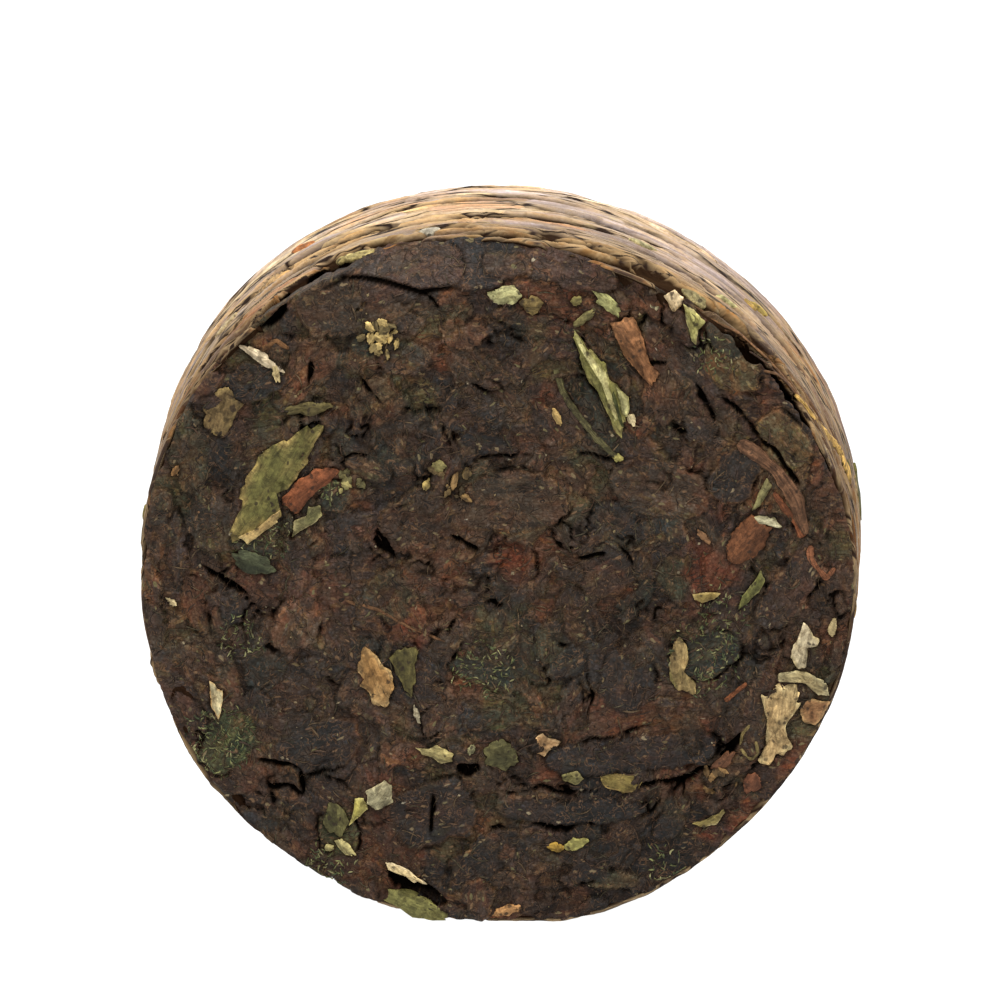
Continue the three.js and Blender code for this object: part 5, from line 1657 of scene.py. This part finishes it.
# %% Twigs
TWIGS = [
    # radius at the start, radius at the end, colour, path in mm on the front face
    (0.28, 0.24, (118, 84, 60), [(9.58, 5.97), (10.33, 5.49), (11.06, 4.88), (11.55, 4.18), (11.85, 3.6),
                                 (12.03, 2.95), (12.25, 2.28)]),
    (0.12, 0.18, (136, 82, 52), [(10.97, 3.98), (11.32, 3.49), (11.9, 2.65), (12.13, 2.16)]),
    (0.12, 0.1, (146, 94, 64), [(12.42, 1.8), (12.42, 1.32), (12.71, 0.9), (13.05, 0.47), (13.4, 0.9)]),
    (0.14, 0.12, (104, 98, 64), [(2.36, 8.82), (2.72, 7.82), (3.31, 6.93), (3.99, 6.12), (4.53, 5.56),
                                 (4.94, 5.23)]),
    (0.07, 0.07, (148, 130, 82), [(10.05, -5.56), (9.76, -6.01), (9.73, -6.58), (10.13, -7.0), (10.39, -6.7),
                                  (10.31, -6.22)]),
    (0.09, 0.07, (152, 92, 56), [(9.09, -4.59), (9.5, -4.2), (9.93, -3.86)]),
    (0.1, 0.08, (130, 92, 56), [(-9.2, 9.5), (-8.6, 9.9), (-8.1, 9.6)]),
    (0.06, 0.05, (128, 92, 62), [(-5.9, -0.7), (-4.6, -1.0), (-3.4, -1.7), (-2.0, -2.3)]),
]
WALL_TWIGS = [
    # radius at the start, radius at the end, colour, path as angle and depth behind the front face
    (0.2, 0.26, (236, 190, 104), [(33, 1.2), (29, 1.6), (27.4, 1.85), (23.6, 3.1), (19.9, 4.0), (15.8, 4.6),
                                  (12, 5.0)]),
    (0.07, 0.09, (214, 176, 112), [(10, 2.3), (5, 2.0), (0, 1.7), (-6, 1.4)]),
    (0.34, 0.3, (222, 210, 166), [(61.8, 0.5), (61.0, 0.85)]),
    (0.1, 0.12, (150, 108, 70), [(58, 1.7), (50, 1.1), (42, 1.3), (34, 1.2), (28, 2.4)]),
    (0.07, 0.1, (120, 86, 58), [(56, 0.3), (50, 0.9), (44, 1.6)]),
    (0.08, 0.06, (104, 74, 52), [(44, 0.25), (38, 0.7), (31, 1.6)]),
    (0.09, 0.07, (132, 94, 60), [(40, 0.2), (36.5, 0.9), (35, 1.9)]),
]
TWIG_STEPS, TWIG_SIDES, TWIG_FLATNESS = 40, 14, 0.5
TWIG_SEED, BACK_TWIGS, BACK_TWIG_REACH = 72, 9, 11
BACK_TWIG_TONES = ((138, 84, 50), (112, 66, 45), (148, 130, 82))


def twig_shapes(random):
    """Each twig lies half sunk in the mat along its path, thinner towards its end, knotty by noise."""
    for k, (start, end, tone, corners) in enumerate(TWIGS):
        yield twig(smooth_path(corners, TWIG_STEPS), start, end, front_mat, to_front, seen(*tone), 1300 + k)
    for k, (start, end, tone, corners) in enumerate(WALL_TWIGS):
        path = [(-np.radians(degrees) * RADIUS, behind - HALF) for degrees, behind in corners]
        yield twig(smooth_path(path, TWIG_STEPS), start, end, wall_mat, to_wall, on_wall(*tone), 1350 + k)
    for k in range(BACK_TWIGS):
        reach, angle, turn = BACK_TWIG_REACH * np.sqrt(random.uniform()), *random.uniform(0, 2 * np.pi, 2)
        middle, step = np.array(polar(reach, angle)), np.array(polar(random.uniform(0.5, 2.0), turn))
        bend = random.normal(0, 0.3, 2)
        start, end = random.uniform(0.08, 0.3), random.uniform(0.06, 0.2)
        tone = seen(*BACK_TWIG_TONES[k % len(BACK_TWIG_TONES)])
        path = smooth_path([middle - step, middle + bend, middle + step], TWIG_STEPS)
        yield twig(path, start, end, back_mat, to_back, tone, 1400 + k)


def twig(path, start, end, mat, carry, tone, seed):
    """One flat tube whose radius goes from start to end, rounded off at its ends and grooved along it."""
    share = np.linspace(0, 1, TWIG_STEPS)
    knots = rough_noise(share * 6, 0 * share, 1.0, seed, 3)
    tip = np.clip(np.minimum(share, 1 - share) / 0.06, 0, 1)
    radius = between(start, end, share) * (1 + 0.25 * knots) * between(0.55, 1, np.sqrt(tip))
    ground = mat.sample(path[:, 0], path[:, 1])["height"]
    ground = np.convolve(np.pad(ground, 6, "edge"), np.ones(13) / 13, "valid")
    turn = np.arange(TWIG_SIDES) * 2 * np.pi / TWIG_SIDES
    along, across = np.meshgrid(share * 4, turn, indexing="ij")
    grooves = rough_noise(along + 2 * np.cos(across), 2 * np.sin(across), 0.8, seed + 2, 3)
    radii = radius[:, None] * (1 + 0.35 * grooves)
    middle = np.column_stack([path, ground + 0.25 * radius])
    points, faces, _ = tubes(middle[None], radii[None], TWIG_SIDES, TWIG_FLATNESS)
    around = np.append(np.tile(np.arange(TWIG_SIDES) / TWIG_SIDES, TWIG_STEPS), [0, 0])
    along = np.append(np.repeat(share * 5, TWIG_SIDES), [0, 5])
    colour = tone * (1 + 0.2 * rough_noise(along * 4, around * 9, 1.0, seed + 1, 3))[:, None]
    marks = {"leaf_colour": colour, "leaf_place": np.stack([along, around * 2, 0 * along + seed], axis=1)}
    return Shape(carry(*points.T), faces, marks)


twig_finish = flake_finish("twig", 0.55, (0.7, 9.0, 31.0))
twigs = make_piece("twigs", joined([*twig_shapes(np.random.default_rng(TWIG_SEED))]), twig_finish)

# %% [markdown]
# ## Fibres and hairs
# Rubbing has raised thousands of short fibres, and where buds were pressed in, a green fuzz. Blender's
# hair would not be a mesh, so each is a tube with three sides that hugs the mat.

# %% Fibres and hairs
FIBRE_SEED, FIBRES, BACK_TUFTS, TUFT_HAIRS = 73, 2500, 10, 80
FIBRE_STEPS, FIBRE_SIDES, FIBRE_FLATNESS = 6, 3, 0.8
FIBRE_TONES = np.array([seen(94, 72, 56), seen(86, 67, 53), seen(76, 60, 50), seen(102, 84, 62),
                        seen(82, 74, 56)])
HAIR_TONES = np.array([seen(108, 112, 72), seen(134, 136, 88), seen(88, 98, 68), seen(166, 162, 116)])
# x, y, reach, number of hairs
FUZZ = [(8.2, -2.9, 1.5, 150), (-0.5, -3.4, 1.2, 110), (-10.0, -2.2, 0.9, 60), (-9.2, 1.8, 1.1, 70),
        (-10.9, -6.4, 1.4, 190), (-6.5, -11.5, 1.0, 70), (8.5, 9.5, 0.8, 40), (9.0, -0.8, 1.0, 60),
        (-6.6, 4.0, 0.6, 40), (6.8, -11.3, 0.8, 40)]


def fibre_shape(random, x, y, length, radius, mat, carry, tones):
    """Thin tubes that start at the given points, wander off with a steady bend and hug the mat."""
    count = len(x)
    heading = random.uniform(0, 2 * np.pi, count)[:, None]
    bend = random.normal(0, 0.9, count)[:, None] * np.linspace(0, 1, FIBRE_STEPS)
    step = (length / FIBRE_STEPS)[:, None]
    path_x = x[:, None] + np.cumsum(step * np.cos(heading + bend), axis=1)
    path_y = y[:, None] + np.cumsum(step * np.sin(heading + bend), axis=1)
    near = np.hypot(path_x, path_y) / (RADIUS - 0.25)
    path_x, path_y = path_x / np.maximum(near, 1), path_y / np.maximum(near, 1)
    ground = mat.sample(path_x, path_y)["height"]
    arch = np.sin(np.pi * np.linspace(0.08, 0.92, FIBRE_STEPS)) * (0.05 * length)[:, None]
    taper = np.sin(np.pi * np.linspace(0.15, 0.9, FIBRE_STEPS))
    paths = np.stack([path_x, path_y, ground + arch - 0.01], axis=-1)
    points, faces, each = tubes(paths, (radius[:, None] * taper)[..., None], FIBRE_SIDES, FIBRE_FLATNESS)
    colour = tones[random.integers(0, len(tones), count)] * random.uniform(0.75, 1.3, count)[:, None]
    return Shape(carry(*points.T), faces, {"leaf_colour": np.repeat(colour, each, axis=0),
                                           "leaf_place": points})


def scattered_points(random, count, reach):
    """Points spread evenly over a disc."""
    return polar(reach * np.sqrt(random.uniform(0, 1, count)), random.uniform(0, 2 * np.pi, count))


def face_fibres(random, mat, carry, count):
    """Fibres all over a face, many short and few long."""
    x, y = scattered_points(random, count, RADIUS - 0.5)
    return fibre_shape(random, x, y, 0.2 + 0.8 * random.uniform(0, 1, count) ** 2,
                       random.uniform(0.02, 0.042, count), mat, carry, FIBRE_TONES)


def fuzz_hairs(random, mat, carry, patches):
    """Tufts of short green hairs: places, reaches and numbers as listed."""
    for x, y, reach, count in patches:
        right, up = scattered_points(random, count, reach)
        yield fibre_shape(random, x + right, y + up, random.uniform(0.12, 0.4, count),
                          random.uniform(0.026, 0.05, count), mat, carry, HAIR_TONES)


fibre_draws = np.random.default_rng(FIBRE_SEED)
fibres = make_piece("fibres", joined([face_fibres(fibre_draws, front_mat, to_front, FIBRES),
                                      face_fibres(fibre_draws, back_mat, to_back, FIBRES)]), pale_leaf)
back_fuzz = [(*fibre_draws.uniform(-8, 8, 2), fibre_draws.uniform(0.6, 1.5), TUFT_HAIRS)
             for _ in range(BACK_TUFTS)]
hairs = make_piece("hairs", joined([*fuzz_hairs(fibre_draws, front_mat, to_front, FUZZ),
                                    *fuzz_hairs(fibre_draws, back_mat, to_back, back_fuzz)]), pale_leaf)

# %% [markdown]
# ## Crumbs
# Leaf dust lies on the faces as pale specks. At this size a sphere would waste faces, so each is an
# octahedron, stretched and turned.

# %% Crumbs
CRUMB_SEED, CRUMBS = 74, 220
CRUMB_TONES = np.array([seen(180, 164, 134), seen(150, 118, 80), seen(128, 96, 68), seen(170, 150, 110)])
OCTAHEDRON = np.array([[1, 0, 0], [-1, 0, 0], [0, 1, 0], [0, -1, 0], [0, 0, 1], [0, 0, -1]], float)
OCTAHEDRON_FACES = np.array([[0, 2, 4], [2, 1, 4], [1, 3, 4], [3, 0, 4], [2, 0, 5], [1, 2, 5], [3, 1, 5],
                             [0, 3, 5]])


def crumb_shape(random, mat, carry, count):
    """Specks of leaf dust: small eight-sided grains, each stretched and turned, resting on the mat."""
    x, y = scattered_points(random, count, RADIUS - 0.5)
    size = random.uniform(0.025, 0.06, count) * (1 + random.uniform(0, 1, count) ** 8)
    stretch = random.uniform(0.6, 1.6, (count, 1, 3))
    turn = random.uniform(0, 2 * np.pi, count)[:, None]
    grain = OCTAHEDRON[None] * stretch * size[:, None, None]
    right, up = turned(grain[..., 0], grain[..., 1], turn)
    high = mat.sample(x, y)["height"][:, None] + grain[..., 2]
    each = len(OCTAHEDRON)
    faces = (OCTAHEDRON_FACES[None] + each * np.arange(count)[:, None, None]).reshape(-1, 3)
    colour = CRUMB_TONES[random.integers(0, len(CRUMB_TONES), count)]
    colour = colour * random.uniform(0.6, 1.1, count)[:, None]
    points = np.stack([x[:, None] + right, y[:, None] + up, high], axis=-1).reshape(-1, 3)
    return Shape(carry(*points.T), [faces, np.zeros((0, 4), int)],
                 {"leaf_colour": np.repeat(colour, each, axis=0), "leaf_place": points})


crumb_draws = np.random.default_rng(CRUMB_SEED)
crumbs = make_piece("crumbs", joined([crumb_shape(crumb_draws, front_mat, to_front, CRUMBS),
                                      crumb_shape(crumb_draws, back_mat, to_back, CRUMBS)]), pale_leaf)

# %% [markdown]
# ## Into the frame
# The faces and the wall take the place of the plain solid. Everything rides on its one body.

# %% Ride and replace
for piece in (front_face, back_face, wall_piece):
    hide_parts(CAKE)
for piece, slot in ((front_face, "pressed_leaf"), (back_face, "pressed_leaf"), (wall_piece, "pressed_leaf"),
                    (flakes, "pale_flake"), (twigs, "leaf_stem"), (fibres, "leaf_stem"),
                    (hairs, "pale_flake"), (crumbs, "pale_flake")):
    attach(piece, "root")
print(f"{CAKE} is replaced, and every piece rides on its body")

# %% [markdown]
# ## The studio
# The cake stands on a white table with no visible horizon. Under soft light a pale floor would still come
# out grey, so this one glows by itself. The light is a sky that is brighter overhead, with one large lamp
# above.

# %% Floor
FLOOR_SIZE = 4.0
bpy.ops.mesh.primitive_grid_add(x_subdivisions=8, y_subdivisions=8, size=FLOOR_SIZE)
floor = bpy.context.object
floor.name = "floor"
floor_paint, _, shader = new_material("pale_floor")
shader["Base Color"].default_value = (0.12, 0.12, 0.12, 1)
shader["Roughness"].default_value = 0.9
shader["Emission Color"].default_value = (1, 1, 1, 1)
shader["Emission Strength"].default_value = 1.0
floor.data.materials.append(floor_paint)
print(f"floor {FLOOR_SIZE} m wide")

# %% Light
SKY_AT_HORIZON, SKY_OVERHEAD = 0.75, 2.1
LAMP_PLACE, LAMP_TARGET, LAMP_SIZE, LAMP_WATTS = (20, -40, 260), (0, 0, 14), 160, 0.35
world = bpy.data.worlds.new("studio")
bpy.context.scene.world = world
world.use_nodes = True
sky = Graph(world.node_tree)
background = sky.nodes["Background"].inputs
height = sky.add("SeparateXYZ")
sky.join(sky.add("TexCoord").outputs["Generated"], height.inputs["Vector"])
sky.join(sky.remap(height.outputs["Z"], 0.0, 0.9, SKY_AT_HORIZON, SKY_OVERHEAD), background["Strength"])
background["Color"].default_value = (1, 1, 1, 1)


def soft_light(name, place, target, size, watts):
    """A square lamp that looks at a target. Places are in mm."""
    lamp = bpy.data.lights.new(name, "AREA")
    lamp.size, lamp.energy = size * MM, watts
    holder = bpy.data.objects.new(name, lamp)
    holder.location = Vector(place) * MM
    holder.rotation_mode = "QUATERNION"
    holder.rotation_quaternion = (Vector(target) - Vector(place)).to_track_quat("-Z", "Y")
    bpy.context.scene.collection.objects.link(holder)


soft_light("overhead", LAMP_PLACE, LAMP_TARGET, LAMP_SIZE, LAMP_WATTS)
print(f"sky {SKY_AT_HORIZON} to {SKY_OVERHEAD}, lamp {LAMP_WATTS} W at {LAMP_PLACE} mm")

# %% [markdown]
# ## The camera
# The photo was taken from a little above with a long lens: the face looks nearly round and the wall's top
# shows. Angle, distance and focal length come from fitting a plain puck to the outline. The lens isn't
# shifted, so the camera is turned until the middle of the face falls on its pixel.

# %% Camera
ELEVATION, AZIMUTH, DISTANCE = np.radians(15.6), np.radians(2.3), 600.0
FOCAL_PIXELS = 15225
FACE_MIDDLE_PIXEL = (495.0, 587.2)
IMAGE, SENSOR = 1000, 36
target = Vector((0, -HALF, AXIS_HEIGHT))
back = Vector((np.sin(AZIMUTH) * np.cos(ELEVATION), -np.cos(AZIMUTH) * np.cos(ELEVATION), np.sin(ELEVATION)))
right = Vector((np.cos(AZIMUTH), np.sin(AZIMUTH), 0))
up = back.cross(right)
aim = target + (right * (IMAGE / 2 - FACE_MIDDLE_PIXEL[0]) + up * (FACE_MIDDLE_PIXEL[1] - IMAGE / 2)) * (
    DISTANCE / FOCAL_PIXELS)
camera = bpy.data.objects.new("camera", bpy.data.cameras.new("camera"))
camera.data.sensor_width = SENSOR
camera.data.lens = FOCAL_PIXELS * SENSOR / IMAGE
camera.data.clip_start, camera.data.clip_end = 0.01, 10
camera.location = (target + back * DISTANCE) * MM
camera.rotation_mode = "QUATERNION"
camera.rotation_quaternion = (aim - target - back * DISTANCE).to_track_quat("-Z", "Y")
bpy.context.scene.collection.objects.link(camera)
bpy.context.scene.camera = camera
bpy.context.scene.view_settings.view_transform = "Standard"
print(f"lens {camera.data.lens:.0f} mm, {DISTANCE:.0f} mm away")
